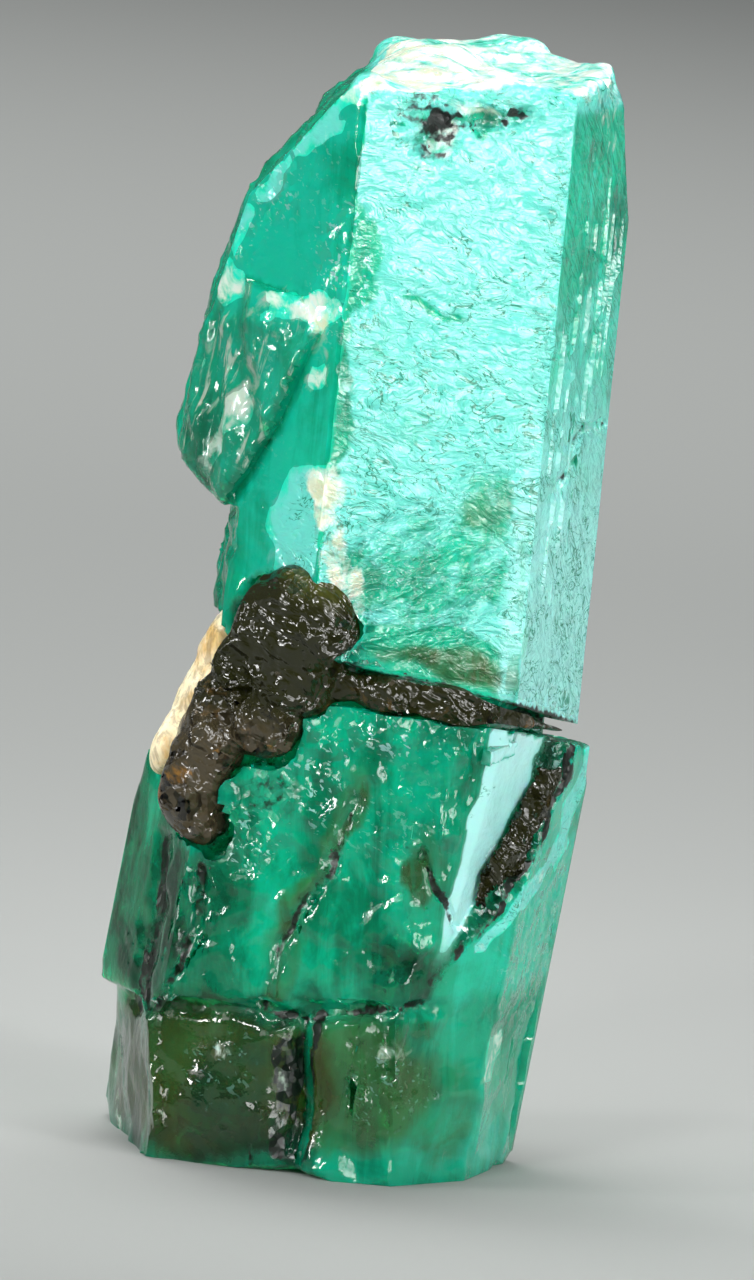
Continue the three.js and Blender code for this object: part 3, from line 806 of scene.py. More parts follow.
def flake_tree(flake_skin):
    """Scatters thin six-sided flakes over a mesh, lying almost flat on it."""
    tree = bpy.data.node_groups.new("Mica flakes", "GeometryNodeTree")
    face = tree.interface
    face.new_socket("Geometry", in_out="INPUT", socket_type="NodeSocketGeometry")
    for name, kind, default in (
        ("Flake radius", "NodeSocketFloat", 0.16 * MM),
        ("Flakes per square metre", "NodeSocketFloat", 9e6),
        ("Tilt", "NodeSocketFloat", 0.6),
        ("Seed", "NodeSocketInt", 1),
        ("Keep surface", "NodeSocketBool", True),
    ):
        face.new_socket(name, in_out="INPUT", socket_type=kind).default_value = default
    face.new_socket("Geometry", in_out="OUTPUT", socket_type="NodeSocketGeometry")

    make = Nodes(tree)
    add = make.add
    start = add("NodeGroupInput").outputs
    where = add("GeometryNodeInputNamedAttribute", {"Name": "flaky"}, data_type="FLOAT")
    density = make.times(where.outputs["Attribute"], start["Flakes per square metre"])
    points = add(
        "GeometryNodeDistributePointsOnFaces",
        {"Mesh": start["Geometry"], "Density": density, "Seed": start["Seed"]},
        distribute_method="RANDOM",
    ).outputs
    flake = add(
        "GeometryNodeMeshCylinder", {"Vertices": 6, "Radius": 1.0, "Depth": 0.16}, fill_type="NGON"
    )
    back = make.times(start["Tilt"], -1.0)
    low = add("ShaderNodeCombineXYZ", {"X": back, "Y": back, "Z": 0.0}).outputs[0]
    high = {"X": start["Tilt"], "Y": start["Tilt"], "Z": math.tau}
    high = add("ShaderNodeCombineXYZ", high).outputs[0]
    spin = add(
        "FunctionNodeRandomValue",
        {0: low, 1: high, "Seed": start["Seed"]},
        data_type="FLOAT_VECTOR",
    ).outputs[0]
    turn = add("FunctionNodeEulerToRotation", {0: spin}).outputs[0]
    rotation = add(
        "FunctionNodeRotateRotation",
        {"Rotation": points["Rotation"], "Rotate By": turn},
        rotation_space="LOCAL",
    ).outputs[0]
    size = add(
        "FunctionNodeRandomValue", {2: 0.35, 3: 1.0, "Seed": start["Seed"]}, data_type="FLOAT"
    ).outputs[1]
    placed = add(
        "GeometryNodeInstanceOnPoints",
        {
            "Points": points["Points"],
            "Instance": flake.outputs["Mesh"],
            "Rotation": rotation,
            "Scale": make.times(size, start["Flake radius"]),
        },
    ).outputs[0]
    real = add("GeometryNodeRealizeInstances", {"Geometry": placed}).outputs[0]
    dressed = add("GeometryNodeSetMaterial", {"Geometry": real, "Material": flake_skin}).outputs[0]
    kept = add(
        "GeometryNodeSwitch",
        {"Switch": start["Keep surface"], "True": start["Geometry"]},
        input_type="GEOMETRY",
    ).outputs[0]
    both = add("GeometryNodeJoinGeometry")
    tree.links.new(dressed, both.inputs[0])
    tree.links.new(kept, both.inputs[0])
    add("NodeGroupOutput", {0: both.outputs[0]})
    return tree


def scattered_flakes(piece, settings, **inputs):
    """Runs the flake tree on a piece and applies it."""
    skin = bpy.data.materials.get("mica_flake") or flake_material(settings)
    tree = bpy.data.node_groups.get("Mica flakes") or flake_tree(skin)
    named = {
        item.name: item.identifier
        for item in tree.interface.items_tree
        if item.item_type == "SOCKET" and item.in_out == "INPUT"
    }
    modifier = piece.modifiers.new("Flakes", "NODES")
    modifier.node_group = tree
    for name, value in inputs.items():
        modifier[named[name.replace("_", " ")]] = value
    return applied(piece)


def mica_finished(piece, node, settings, size, crowd, seed):
    """Gives a mica piece its ground and flakes: their size and number as shares of the settings."""
    smooth_shade(piece.data, MICA_SHARP)
    ground = bpy.data.materials.get("dark_mica") or mica_material(settings)
    piece.data.materials.append(ground)
    scattered_flakes(
        piece,
        settings,
        Flake_radius=settings.flake * size,
        Flakes_per_square_metre=settings.flakes * crowd * PER_SQUARE_METRE,
        Seed=seed,
    )
    finish_piece(piece, node)


# Lines of the front, in millimetres across and up as they look from the front
BREAK_LINE = ((-0.5, 12.3), (0.8, 12.0), (2.0, 11.9), (3.2, 11.7), (4.2, 11.6), (5.1, 11.4))
FOOT_LINE = ((-4.8, 3.7), (-3.2, 3.7), (-1.05, 3.85), (1.6, 4.2), (2.5, 4.4))
LEDGE_LINE = ((5.2, 11.0), (4.85, 9.8), (4.5, 8.5), (3.7, 6.9), (2.85, 5.8), (2.2, 4.95))
STRIP_LINE = ((3.07, 11.4), (2.87, 9.3), (2.63, 8.1), (2.44, 6.9), (2.3, 5.4))
STRIP_END = ((4.36, 11.3), (3.94, 9.4), (3.46, 8.2), (3.0, 6.8), (2.58, 5.7))
# LEDGE_RIM: the right slab's rim, where a painted highlight lies
LEDGE_RIM = ((5.55, 11.0), (5.4, 10.3), (5.0, 8.3), (4.2, 6.9), (3.3, 5.9))
SCAB_LINE = ((-1.8, 20.9), (-2.35, 19.2), (-2.65, 17.7), (-3.3, 16.4), (-3.5, 15.0))
FOOT_GAP = ((-1.5, 3.85), (0.3, 4.0), (1.6, 4.2), (2.2, 4.5))
LEFT_CRACK = ((-4.45, 7.75), (-4.5, 6.2), (-4.6, 5.0), (-4.65, 3.65))
SECOND_CRACK = ((-3.45, 7.15), (-3.5, 5.75), (-4.0, 4.2), (-4.4, 3.6))
OLIVE_CRACK = ((0.0, 9.0), (-0.41, 7.3), (-1.04, 6.6), (-1.33, 5.7), (-1.67, 4.0))
DOTTED_CRACK = ((1.45, 8.6), (1.34, 7.3), (1.6, 6.5))
SLOT_CRACK = ((-0.35, 3.9), (-0.75, 3.0), (-0.7, 2.2), (-0.85, 1.2), (-0.9, 0.5))
FOOT_CRACK = ((-0.9, 3.7), (-1.23, 2.8), (-0.96, 1.7), (-1.46, 1.2), (-1.58, 0.1))
THIN_CRACK = ((1.8, 8.0), (2.25, 7.1), (2.7, 6.35))
RIGHT_CRACK = ((5.2, 18.7), (4.7, 18.55), (4.4, 18.25), (4.35, 17.55), (4.05, 16.9))
EDGE_GROOVE = ((3.4, 15.5), (3.45, 13.7), (3.55, 12.1))
# The left face's outer edge, where a band of painted rim light lies
LEFT_EDGE = ((-1.3, 26.3), (-2.1, 25.3), (-2.9, 24.4), (-3.6, 23.4))
LEFT_EDGE += ((-4.2, 22.4), (-4.6, 21.4), (-4.8, 20.6))
CREAM_VEIN = ((-1.35, 16.5), (-1.3, 15.7), (-1.0, 15.1), (-0.85, 14.4), (-0.5, 13.6))

# Lines that are grooves, with their widths, and dark lines of mica dust, one of them painted
# shadow, with width and strength
CRACK_GROOVES = (
    (LEFT_CRACK, 0.3),
    (SECOND_CRACK, 0.2),
    (OLIVE_CRACK, 0.25),
    (THIN_CRACK, 0.12),
    (FOOT_LINE, 0.25),
    (RIGHT_CRACK, 0.15),
)
DUST_AND_SHADE_LINES = (
    (LEDGE_LINE, 0.16, 0.9),
    # Painted shadow, not mica dust: the dark line down the left crack, between the left slab and
    # the panel
    (LEFT_CRACK, 0.17, 1.0),
    (SECOND_CRACK, 0.22, 0.6),
    (OLIVE_CRACK, 0.16, 0.6),
    (DOTTED_CRACK, 0.2, 0.4),
    (FOOT_CRACK, 0.16, 0.5),
    (SLOT_CRACK, 0.34, 0.7),
    (THIN_CRACK, 0.12, 0.9),
    (RIGHT_CRACK, 0.14, 0.6),
    (FOOT_LINE, 0.2, 0.3),
    (FOOT_GAP, 0.1, 0.7),
)

# Patches of the front: across, up, half width, half height, turn, strength
SLAB_ENDS = (
    (-5.3, 3.8, 0.6, 0.7, 0, 1.0),
    (-5.2, 10.0, 0.8, 1.1, 0, 1.0),
    (5.6, 11.0, 0.6, 0.8, 0, 1.0),
)
# Tone patches: the beryl's own lighter and darker zones, with painted shadow beside the left crack
TONE_AND_SHADE_PATCHES = (
    (-2.6, 23.5, 0.8, 3.2, -28, 0.15),
    (-1.65, 24.6, 0.4, 1.5, -14, -0.2),
    (1.9, 5.3, 1.0, 0.6, 0, -0.15),
    (-2.9, 7.6, 0.7, 1.0, 0, 0.12),
    (-4.2, 22.2, 0.5, 1.6, -20, 0.2),
    (-3.7, 17.8, 1.3, 2.4, -12, -0.15),
    (-4.5, 16.8, 0.5, 1.6, -6, -0.35),
    (-3.6, 13.9, 0.5, 1.4, 0, -0.2),
    (-2.5, 18.4, 0.4, 2.2, -12, 0.15),
    (1.6, 10.2, 0.8, 1.2, 0, 0.22),
    (0.2, 10.8, 1.3, 0.4, 0, 0.12),
    (-3.1, 5.8, 1.0, 2.0, 0, -0.4),
    (1.3, 5.1, 1.1, 0.7, 0, -0.3),
    (0.0, 6.2, 0.9, 0.8, 0, -0.12),
    (-1.9, 5.3, 0.5, 1.2, 0, 0.06),
    (1.5, 6.9, 0.7, 1.2, 0, 0.12),
    # Painted shadow: dark green beside the left crack, between the left slab and the panel
    (-5.2, 6.4, 0.5, 3.0, 5, -0.42),
    (-4.4, 5.6, 0.5, 2.2, 4, -0.5),
    (-3.0, 2.1, 2.4, 2.1, 0, -0.75),
    (-0.8, 2.1, 0.9, 2.2, 0, -0.6),
    (1.2, 2.6, 1.3, 1.8, 0, -0.32),
    (3.0, 1.2, 1.6, 0.8, 8, 0.18),
    (1.7, 12.7, 2.2, 0.5, -5, 0.05),
    (-3.4, 7.4, 1.2, 2.4, 0, -0.1),
    (1.2, 10.4, 1.8, 1.0, 0, -0.25),
    (-0.9, 8.6, 0.5, 1.4, -14, -0.22),
    (0.9, 5.8, 1.2, 1.2, 0, -0.12),
)
SKIN_PATCHES = (
    (-1.75, 17.4, 0.8, 1.1, 0, -1.0),
    (-1.35, 21.9, 0.8, 1.3, 8, -0.95),
    (-1.5, 19.8, 0.4, 1.2, 5, -0.8),
    (2.5, 16.4, 0.8, 0.8, 20, -0.55),
    (1.7, 12.7, 2.3, 0.6, -5, -0.9),
    (1.5, 14.6, 1.9, 1.5, 0, -0.55),
    (0.3, 18.0, 1.5, 0.5, 12, -0.25),
    (-0.4, 20.0, 0.5, 0.5, 0, -0.3),
    (0.6, 21.0, 1.0, 0.09, -22, -0.8),
    (0.9, 20.3, 0.5, 0.07, -40, -0.6),
    (-0.6, 13.9, 0.5, 1.2, 0, -0.4),
)
LEFT_SKIN = ((-1.9, 15.5, 0.75, 1.3, 0, 1.0),)
MILK_PATCHES = (
    (-4.25, 20.9, 0.45, 0.5, 0, 0.75),
    (-3.2, 20.6, 0.9, 0.3, 0, 0.35),
    (-2.1, 20.6, 0.65, 0.5, -20, 0.75),
    (-2.0, 19.5, 0.35, 0.8, 10, 0.6),
    (-2.7, 20.9, 0.7, 0.3, 10, 0.45),
    (-3.5, 18.6, 0.3, 1.8, -24, 0.5),
    (-4.1, 17.4, 0.25, 1.3, -24, 0.45),
    (-4.5, 19.2, 0.3, 1.0, -14, 0.4),
    (-1.3, 16.4, 0.75, 0.4, -10, 0.7),
    (-0.9, 26.6, 1.4, 0.7, -12, 0.85),
    (0.45, 24.8, 0.5, 0.4, 0, 0.6),
    (1.2, 25.7, 0.5, 0.3, 0, 0.4),
    (1.0, 26.7, 1.2, 0.4, -14, 0.6),
    (-1.8, 26.0, 0.5, 0.7, 0, 0.7),
    (4.4, 26.2, 0.45, 1.2, 0, 0.45),
    (3.9, 3.2, 0.3, 0.9, -12, 0.5),
    (-5.2, 1.8, 0.4, 1.6, 0, 0.4),
    (-2.9, 2.85, 0.7, 0.3, 0, 0.4),
    (1.2, 3.1, 0.9, 0.45, 0, 0.35),
    (-0.75, 2.3, 0.3, 0.5, 10, 0.45),
    (0.3, 5.0, 0.6, 0.6, 0, 0.15),
)
# Glitter patches: glinting broken facets, where pale glints are also painted
GLITTER_PATCHES = (
    (0.4, 10.9, 2.2, 0.6, -6, 0.8),
    (-1.3, 9.8, 0.9, 1.2, 0, 0.7),
    (-2.6, 7.9, 0.8, 0.8, 0, 0.9),
    (-1.5, 21.9, 0.9, 1.2, 0, 0.8),
    (-1.7, 20.6, 1.0, 0.8, 0, 0.6),
    (-3.7, 22.8, 0.6, 1.9, -24, 0.5),
    (-2.6, 23.6, 0.7, 1.4, -28, 0.2),
    (-3.6, 17.8, 1.2, 2.4, -12, 0.12),
    (1.0, 14.6, 2.0, 1.5, 0, 0.25),
    (0.4, 9.0, 2.0, 1.3, 0, 0.2),
    (-2.6, 2.4, 0.9, 0.9, 0, 0.25),
    (4.6, 6.4, 0.8, 2.4, -12, 0.3),
    (1.5, 2.2, 0.9, 0.9, 0, 0.3),
)
STAIN_PATCHES = (
    (-0.2, 8.2, 0.3, 1.3, -14, 0.6),
    (-1.1, 6.4, 0.3, 1.0, -35, 0.5),
    (-1.5, 4.9, 0.35, 1.0, -12, 0.5),
    (1.75, 7.4, 0.3, 0.9, 10, 0.7),
    (1.95, 8.7, 0.3, 0.7, 0, 0.45),
    (-0.2, 9.7, 0.7, 0.8, 0, 0.25),
    (2.4, 16.4, 0.7, 0.6, 20, 0.2),
    (2.0, 12.5, 1.9, 0.45, -5, 0.6),
    (-2.9, 13.8, 0.9, 0.8, 0, 0.35),
    (0.2, 25.1, 0.9, 0.25, 0, 0.35),
    (1.9, 26.1, 0.9, 0.25, -12, 0.35),
    (-1.7, 26.2, 0.5, 0.5, 0, 0.3),
    (-2.6, 2.2, 2.5, 2.2, 0, 0.36),
    (1.2, 2.0, 1.8, 1.8, 0, 0.2),
    (-4.9, 3.6, 0.4, 0.4, 0, 0.6),
    (2.1, 3.9, 0.7, 0.35, 0, 0.5),
    (2.6, 2.2, 0.9, 1.3, 0, 0.12),
)
OLIVE_PATCHES = (
    (-3.0, 2.0, 2.6, 2.2, 0, 0.62),
    (0.6, 2.4, 1.7, 1.9, 0, 0.66),
    (2.6, 1.8, 1.2, 1.6, 0, 0.45),
    (1.85, 7.8, 0.45, 1.3, 8, 0.6),
    (-0.4, 8.3, 0.5, 1.7, -14, 0.6),
    (-1.3, 5.6, 0.5, 1.6, -16, 0.6),
    (2.0, 12.5, 1.9, 0.5, -5, 0.7),
    (2.4, 16.2, 0.8, 0.7, 20, 0.5),
)
CREAM_PATCHES = (
    (-0.4, 26.6, 1.7, 0.8, -10, 0.55),
    (-1.4, 16.3, 0.7, 0.3, 0, 0.4),
    (-2.0, 20.2, 0.3, 0.5, 0, 0.8),
)
PIT_PATCHES = (
    (0.7, 25.5, 1.8, 0.45, 6, 0.9),
    (0.35, 24.75, 0.65, 0.55, 0, 0.9),
    (1.7, 25.4, 0.9, 0.35, 12, 0.7),
)
SOOT_PATCHES = (
    (-4.7, 16.1, 0.35, 0.9, 0, 0.45),
    (-3.9, 13.9, 0.25, 1.2, 0, 0.4),
    (-0.9, 2.6, 0.5, 1.0, 0, 0.35),
    (3.4, 7.9, 0.3, 0.5, 0, 0.4),
    (4.6, 10.8, 0.25, 0.4, 0, 0.3),
    (-2.1, 9.1, 0.55, 0.9, -25, 0.45),
    (-3.2, 7.5, 0.4, 0.4, 0, 0.45),
)


def dress_emerald(mesh, settings):
    """Fine relief on the remeshed crystal, and where each finish lies."""
    # Where each face and each broken part lies
    place, normal = corners_of(mesh)
    x, y, z = place.T
    ragged = warped(warped(place, 1.1, 0.28, 201), 0.35, 0.1, 205)
    front = seen(ragged)
    fine_front = seen(warped(place, 0.6, 0.12, 211))
    upper = ramp(z + BREAK_SLOPE[0] * x + BREAK_SLOPE[1] * y - BREAK_HEIGHT, -0.2, 0.2)
    lower = 1 - upper

    def facing(azimuth, low=0.9, high=0.985):
        return ramp(normal @ direction(azimuth), low, high)

    def on_plane(azimuth, reach, low, high):
        """A face with its grooves and pits, which its normal alone would miss."""
        near = ramp(place @ direction(azimuth), reach - 0.6, reach - 0.3)
        return near * facing(azimuth, low, high) * upper

    front_side = ramp(-normal[:, 1], -0.1, 0.3)
    right_of_ledge = ramp(beside(fine_front, LEDGE_LINE), -0.1, 0.1)
    right_reach = np.quantile((place @ direction(STRIATED_FACE))[z > 14], 0.98)
    right = on_plane(STRIATED_FACE, right_reach, 0.3, 0.6)
    broad = on_plane(BROAD_FACE, FRONT_REACH, 0.89, 0.97)
    dimples = on_plane(BROAD_FACE, FRONT_REACH, 0.3, 0.6) * spot(front, (0.9, 25.2), (2.2, 1.2))
    broad = np.maximum(broad, dimples)
    left = facing(LEFT_FACE, 0.8, 0.97) * upper
    strip = facing(STRIP_FACE, 0.55, 0.7) * lower * ramp(z, 5.2, 6.4)
    strip = strip * ramp(beside(fine_front, STRIP_LINE), -0.06, 0.04)
    strip = strip * (1 - ramp(beside(fine_front, STRIP_END), -0.05, 0.08))
    ledge = facing(STRIP_FACE, 0.3, 0.5) * lower * ramp(z, 5.2, 6.0) * (1 - right_of_ledge)
    ledge = ledge * ramp(beside(fine_front, STRIP_END), -0.05, 0.15)
    right_slab = sum(facing(azimuth) for azimuth in RIGHT_SLABS) * lower
    right_slab = right_slab * right_of_ledge * ramp(z, 4.2, 5.0)
    left_slab = facing(LEFT_SLAB, 0.93, 0.99) * lower
    back = sum(facing(azimuth) for azimuth in BACK_FACES)
    level = ramp(np.abs(normal[:, 2]), 0.45, 0.8)
    top = ramp(z, *TOP_FROM)
    clean_left = left * np.maximum(ramp(z, 20.3, 20.9), ramp(beside(front, SCAB_LINE), -0.1, 0.15))
    clean_left = clean_left * ramp(z, 13.5, 15.0)
    smooth = broad + right + strip + 0.8 * right_slab + back + left_slab + clean_left
    smooth = spread(mesh, np.clip(smooth, 0, 1), 3)
    broken = 1 - smooth
    tip = upper * spot(front, (-4.8, 16.6), (0.9, 1.5))
    lumpy = np.maximum(np.maximum(broken * upper, top), tip)
    sunk = ramp(FRONT_REACH - place @ direction(BROAD_FACE), 0.05, 0.16)
    pitted = sunk * spot(front, (0.9, 25.2), (2.3, 1.0)) * (1 - ramp(z, 25.7, 26.0))
    slot = lower * spot(seen(place), (-0.85, 1.9), (0.8, 2.3)) * front_side
    foot = lower * (1 - ramp(z, 3.6, 4.0))
    flat_base = 1 - ramp(z, 0.15, 0.7)

    # Round off what the remeshing left blocky
    eased(mesh, broken * (1 - flat_base), BROKEN_ROUNDS)
    eased(mesh, lumpy, LUMPY_ROUNDS)
    crest = top * ramp(z, 26.0, 26.3)
    slab_end = painted(seen(place), SLAB_ENDS) * lower
    eased(mesh, np.clip(tip + crest + slab_end, 0, 1), CREST_ROUNDS)
    eased(mesh, spread(mesh, np.clip(pitted + slot, 0, 1), 3), PIT_ROUNDS)
    place, normal = corners_of(mesh)

    # Relief, pushed along the normals
    slanted = warped(place, 1.2, 0.4, 221) * np.array((1.0, 1.0, 1.9))
    etching = 1 - np.abs(rubble(slanted, 1.0, 11)) * 2.2
    upright = place * np.array((1.0, 1.0, 0.12))
    growth = rubble(upright, 0.5, 21, 3)
    hollows = 0.6 * scallops(ragged, 1.5, 31) + 0.4 * scallops(ragged, 0.55, 41)
    wide_hollows = scallops(ragged, 2.1, 36)
    hollows = hollows + foot * (wide_hollows - hollows)
    leaning = np.stack((x + 0.28 * z, y, 0.28 * z), axis=1)
    lumps = 0.5 * rubble(place, 1.6, 51, 2) + 0.6 * rubble(leaning, 0.7, 61, 3) + 0.35
    cracks = 0.0
    for line, width in CRACK_GROOVES:
        cracks = np.maximum(cracks, stroke(fine_front, line, width) * front_side)
    windows = np.clip(-painted(front, SKIN_PATCHES), 0, 1) * broad
    depth = -settings.etch_depth / MM * broad * (etching + 1.2 * windows * (1 + hollows))
    depth += settings.striation_depth / MM * (right + 0.6 * back) * (growth - 0.6)
    depth += settings.break_relief / MM * broken * (1 - lumpy) * (hollows - 0.8) * (1 - flat_base)
    crown = 0.7 * rubble(place, 2.2, 171, 2) - 0.25 * scallops(ragged, 1.1, 181)
    lumps = (lumps - 0.35) * (1 - top) + crown * top
    depth += settings.lump_relief / MM * lumpy * lumps
    depth += STRIP_RIPPLE * strip * (swell(place, 0.6, 71) - 0.6)
    above_seam = front[:, 1] - np.interp(front[:, 0], *zip(*BREAK_LINE))
    edge = (1 - ramp(above_seam, 0.0, 1.0)) * ramp(above_seam, -0.3, -0.1)
    edge *= ramp(x, -0.7, -0.2) * broad
    depth -= SEAM_EDGE_DEPTH * edge
    pocks = painted(front, PIT_PATCHES) * broad * (scallops(ragged, 0.6, 46) - 1)
    depth += POCK_DEPTH * pocks
    depth -= CRACK_DEPTH * cracks * (1 - flat_base)
    set_corners(mesh, place + normal * depth[:, None])

    # Finishes and colours, as shares on the mesh, with painted light and shade among them
    pit_zone = painted(front, PIT_PATCHES) * broad
    skin = broad * (1 - windows) - 0.35 * pit_zone - 0.9 * edge
    # On the striated face the skin grows towards the bottom, a painted sheen there
    skin += right * (0.4 + 0.5 * ramp(0.5 * rubble(place, 1.4, 81) - 0.12 * (z - 18), -0.6, 0.6))
    # Painted rim light: a pale band of skin along the left face's outer edge
    rim = stroke(front, LEFT_EDGE, 0.6) * ramp(rubble(place, 0.8, 192, 2), -0.6, 0.2)
    skin += strip + (left + broken * upper) * front_side * (painted(front, LEFT_SKIN) + 0.8 * rim)
    skin += 0.1 * right_slab + 0.4 * back * ramp(rubble(place, 2.2, 91), -0.1, 0.6)
    skin -= 0.9 * stroke(fine_front, EDGE_GROOVE, 0.22) * front_side
    skin = skin * (1 - 0.6 * level) + 0.7 * top
    # Tone: the beryl's lighter and darker greens, partly its own and partly painted light and
    # shade: painted brighter on the left face and the right slab, painted darker on the left slab
    # and in the recessed ledge, and darker on the foot's sides and back
    tone = 0.64 * lower + upper * (0.62 + 0.3 * left) + 0.4 * right_slab - 0.12 * left_slab
    tone += painted(front, TONE_AND_SHADE_PATCHES) * front_side - 0.45 * ledge
    tone -= 0.25 * foot * (1 - front_side)
    milk = painted(front, MILK_PATCHES) * front_side
    vein = stroke(front, CREAM_VEIN, 0.62) * ramp(rubble(place, 0.6, 196, 3), -0.9, -0.1)
    milk += 0.65 * top * level + 0.75 * vein * front_side
    creamy = painted(front, CREAM_PATCHES) + 0.7 * vein
    # Painted highlight: pale mint and white along the right slab's glassy rim
    skin += 0.75 * stroke(fine_front, LEDGE_RIM, 0.24) * front_side * lower
    milk += 0.3 * stroke(fine_front, LEDGE_RIM, 0.2) * front_side
    # Painted reflection: a pale tint over the pitted zone, for the light its facets mirror
    milk += 0.25 * pit_zone
    # Glitter: rough glinting facets, also painted with pale glints by the shader
    glitter = painted(front, GLITTER_PATCHES) * front_side + 0.8 * pit_zone + 0.6 * ledge
    glitter += 0.5 * vein * front_side + 0.35 * top
    glitter *= 1 - 0.6 * edge
    streaky = broken * upper * front_side * (1 - ramp(z, 20.6, 21.4)) * ramp(z, 14.5, 15.5)
    stain = painted(front, STAIN_PATCHES) + 0.55 * stroke(front, CREAM_VEIN, 0.75)
    stain *= front_side * (1 - top) * (1 - np.clip(milk, 0, 1))
    # Black mica dust in the pits, cracks and seam, with painted shadow in the left crack
    speckle = ramp(rubble(place * np.array((1.0, 1.0, 2.2)), 0.55, 191, 3), -0.08, 0.15)
    soot = painted(front, SOOT_PATCHES) + 0.65 * pit_zone * speckle
    soot += 0.9 * stroke(fine_front + np.array((0, 0.16)), BREAK_LINE, 0.36)
    patchy = 0.45 + 0.75 * ramp(rubble(place, 0.5, 193, 3), -0.35, 0.25)
    for line, width, strength in DUST_AND_SHADE_LINES:
        soot += strength * stroke(fine_front, line, width) * patchy
    soot *= front_side
    wrinkled = 0.7 + 0.3 * (1 - ramp(z, 17.0, 21.5)) - 0.15 * ramp(z, 21.0, 24.0)
    wrinkled *= (1 - 0.8 * strip) * (1 - 0.35 * left)
    record(
        mesh,
        skin=skin,
        etched=np.maximum(skin, broad) * wrinkled,
        crumpled=spot(front, (1.0, 14.3), (2.3, 2.0)) * broad,
        striated=right + 0.5 * back,
        broken=broken * (1 - 0.7 * foot),
        tone=tone,
        milk=milk,
        glitter=glitter,
        streaky=0.8 * streaky,
        creamy=creamy,
        # Painted sheen on the smooth strip and low on the striated face
        pale=0.85 * strip + 0.5 * right * (1 - ramp(z, 15.0, 21.0)),
        stain=stain,
        olive=painted(front, OLIVE_PATCHES) * front_side,
        soot=soot,
        flaky=ramp(soot, 0.35, 0.8),
    )

    # Clear and frosted faces, parted along a ragged line
    frosted = np.maximum(np.maximum(skin, milk), right + top + broad + edge)
    frosted += 0.12 * swell(place, 1.1, 199) + 0.3 * rubble(place, 0.45, 198, 2)
    mesh.materials.clear()
    split_finishes(mesh, frosted - FROSTED_FROM)
    smooth_shade(mesh, EMERALD_SHARP)


class EMERALD_OT_crystal(bpy.types.Operator):
    """Builds the emerald: both prisms, with their etched, striated and broken surfaces"""

    bl_idname = "emerald.crystal"
    bl_label = "Emerald crystal"

    def execute(self, context):
        settings = context.scene.emerald_crystal
        piece = merged_copy("emerald", "emerald_crystal")
        piece = remeshed(piece, settings.fineness, EMERALD_GRID_SHARE)
        dress_emerald(piece.data, settings)
        for finish in (
            ("clear_beryl", settings.clarity, settings.clear_gloss),
            ("frosted_beryl", settings.frosted_clarity, settings.frosted_gloss),
        ):
            piece.data.materials.append(emerald_material(settings, *finish))
        finish_piece(piece, "emerald_crystal")
        return {"FINISHED"}


class EMERALD_OT_mica(bpy.types.Operator):
    """Builds the mica in the hollow and in the healed break, with its flakes"""

    bl_idname = "emerald.mica"
    bl_label = "Mica matrix"

    def execute(self, context):
        settings = context.scene.emerald_mica
        piece = remeshed(merged_copy("mica_lens", "mica_matrix"), settings.fineness)
        mesh = piece.data
        place, _ = corners_of(mesh)
        head = ramp(place[:, 2], 11.9, 12.9) * ramp(-place[:, 0], -0.9, 0.1)
        body = ramp(-place[:, 0], -1.0, 0.0)
        eased(mesh, body, MICA_ROUNDS)
        eased(mesh, head, HEAD_ROUNDS)
        toe = body * (1 - ramp(place[:, 2], 8.3, 9.8))
        eased(mesh, toe, TOE_ROUNDS)
        eased(mesh, ramp(place[:, 0], 3.9, 4.5), BAND_END_ROUNDS)
        place, _ = corners_of(mesh)
        place = domed(place + DOME_PUSH * head[:, None] * direction(DOME_AZIMUTH), head)
        set_corners(mesh, place)
        place, normal = corners_of(mesh)
        thin = ramp(place[:, 0], 1.8, 3.6)
        middle = ramp(place[:, 0], -0.5, 0.4) * (1 - ramp(place[:, 0], 2.2, 3.2))
        torn = warped(place, 0.9, 0.25, 231)
        high = ramp(place[:, 2], 11.6, 12.6)
        flutes = swell(torn * np.array((1.5, 1.5, 0.35)), 1.0, 106)
        lumps = 0.7 * (0.9 - scallops(torn, 1.7, 101)) + 0.35 * rubble(torn, 0.9, 121, 2)
        lumps = lumps + high * (0.12 * flutes + 0.3 - lumps) - 0.2
        depth = settings.relief / MM * lumps * (1 - 0.85 * thin)
        depth = depth + 0.12 * middle + 0.1 * head + 0.08 * toe
        place[:, 0] -= 0.35 * ramp(place[:, 0], 3.6, 5.0)
        set_corners(mesh, place + normal * depth[:, None])
        record(
            mesh,
            flaky=ramp(rubble(place, 0.9, 141, 2), 0.0, 0.5),
            weathered=1 - ramp(place[:, 2], 9.5, 12.5),
            thin=0.8 * high * ramp(place[:, 2] + 0.5 * place[:, 0], 12.2, 14.0),
        )
        mica_finished(piece, "mica_matrix", settings, size=1.0, crowd=1.0, seed=3)
        return {"FINISHED"}


class EMERALD_OT_film(bpy.types.Operator):
    """Builds the broken mica film on the ledge"""

    bl_idname = "emerald.film"
    bl_label = "Mica film"

    def execute(self, context):
        settings = context.scene.emerald_mica
        piece = remeshed(merged_copy("mica_ledge", "mica_film"), settings.fineness - 1)
        place, normal = corners_of(piece.data)
        depth = FILM_RELIEF * (scallops(place, 0.5, 131) - 0.8)
        set_corners(piece.data, place + normal * depth[:, None])
        even = np.ones(len(place))
        record(piece.data, flaky=even, weathered=0.1 * even, thin=0.2 * even)
        mica_finished(piece, "mica_film", settings, size=0.7, crowd=1.8, seed=7)
        return {"FINISHED"}


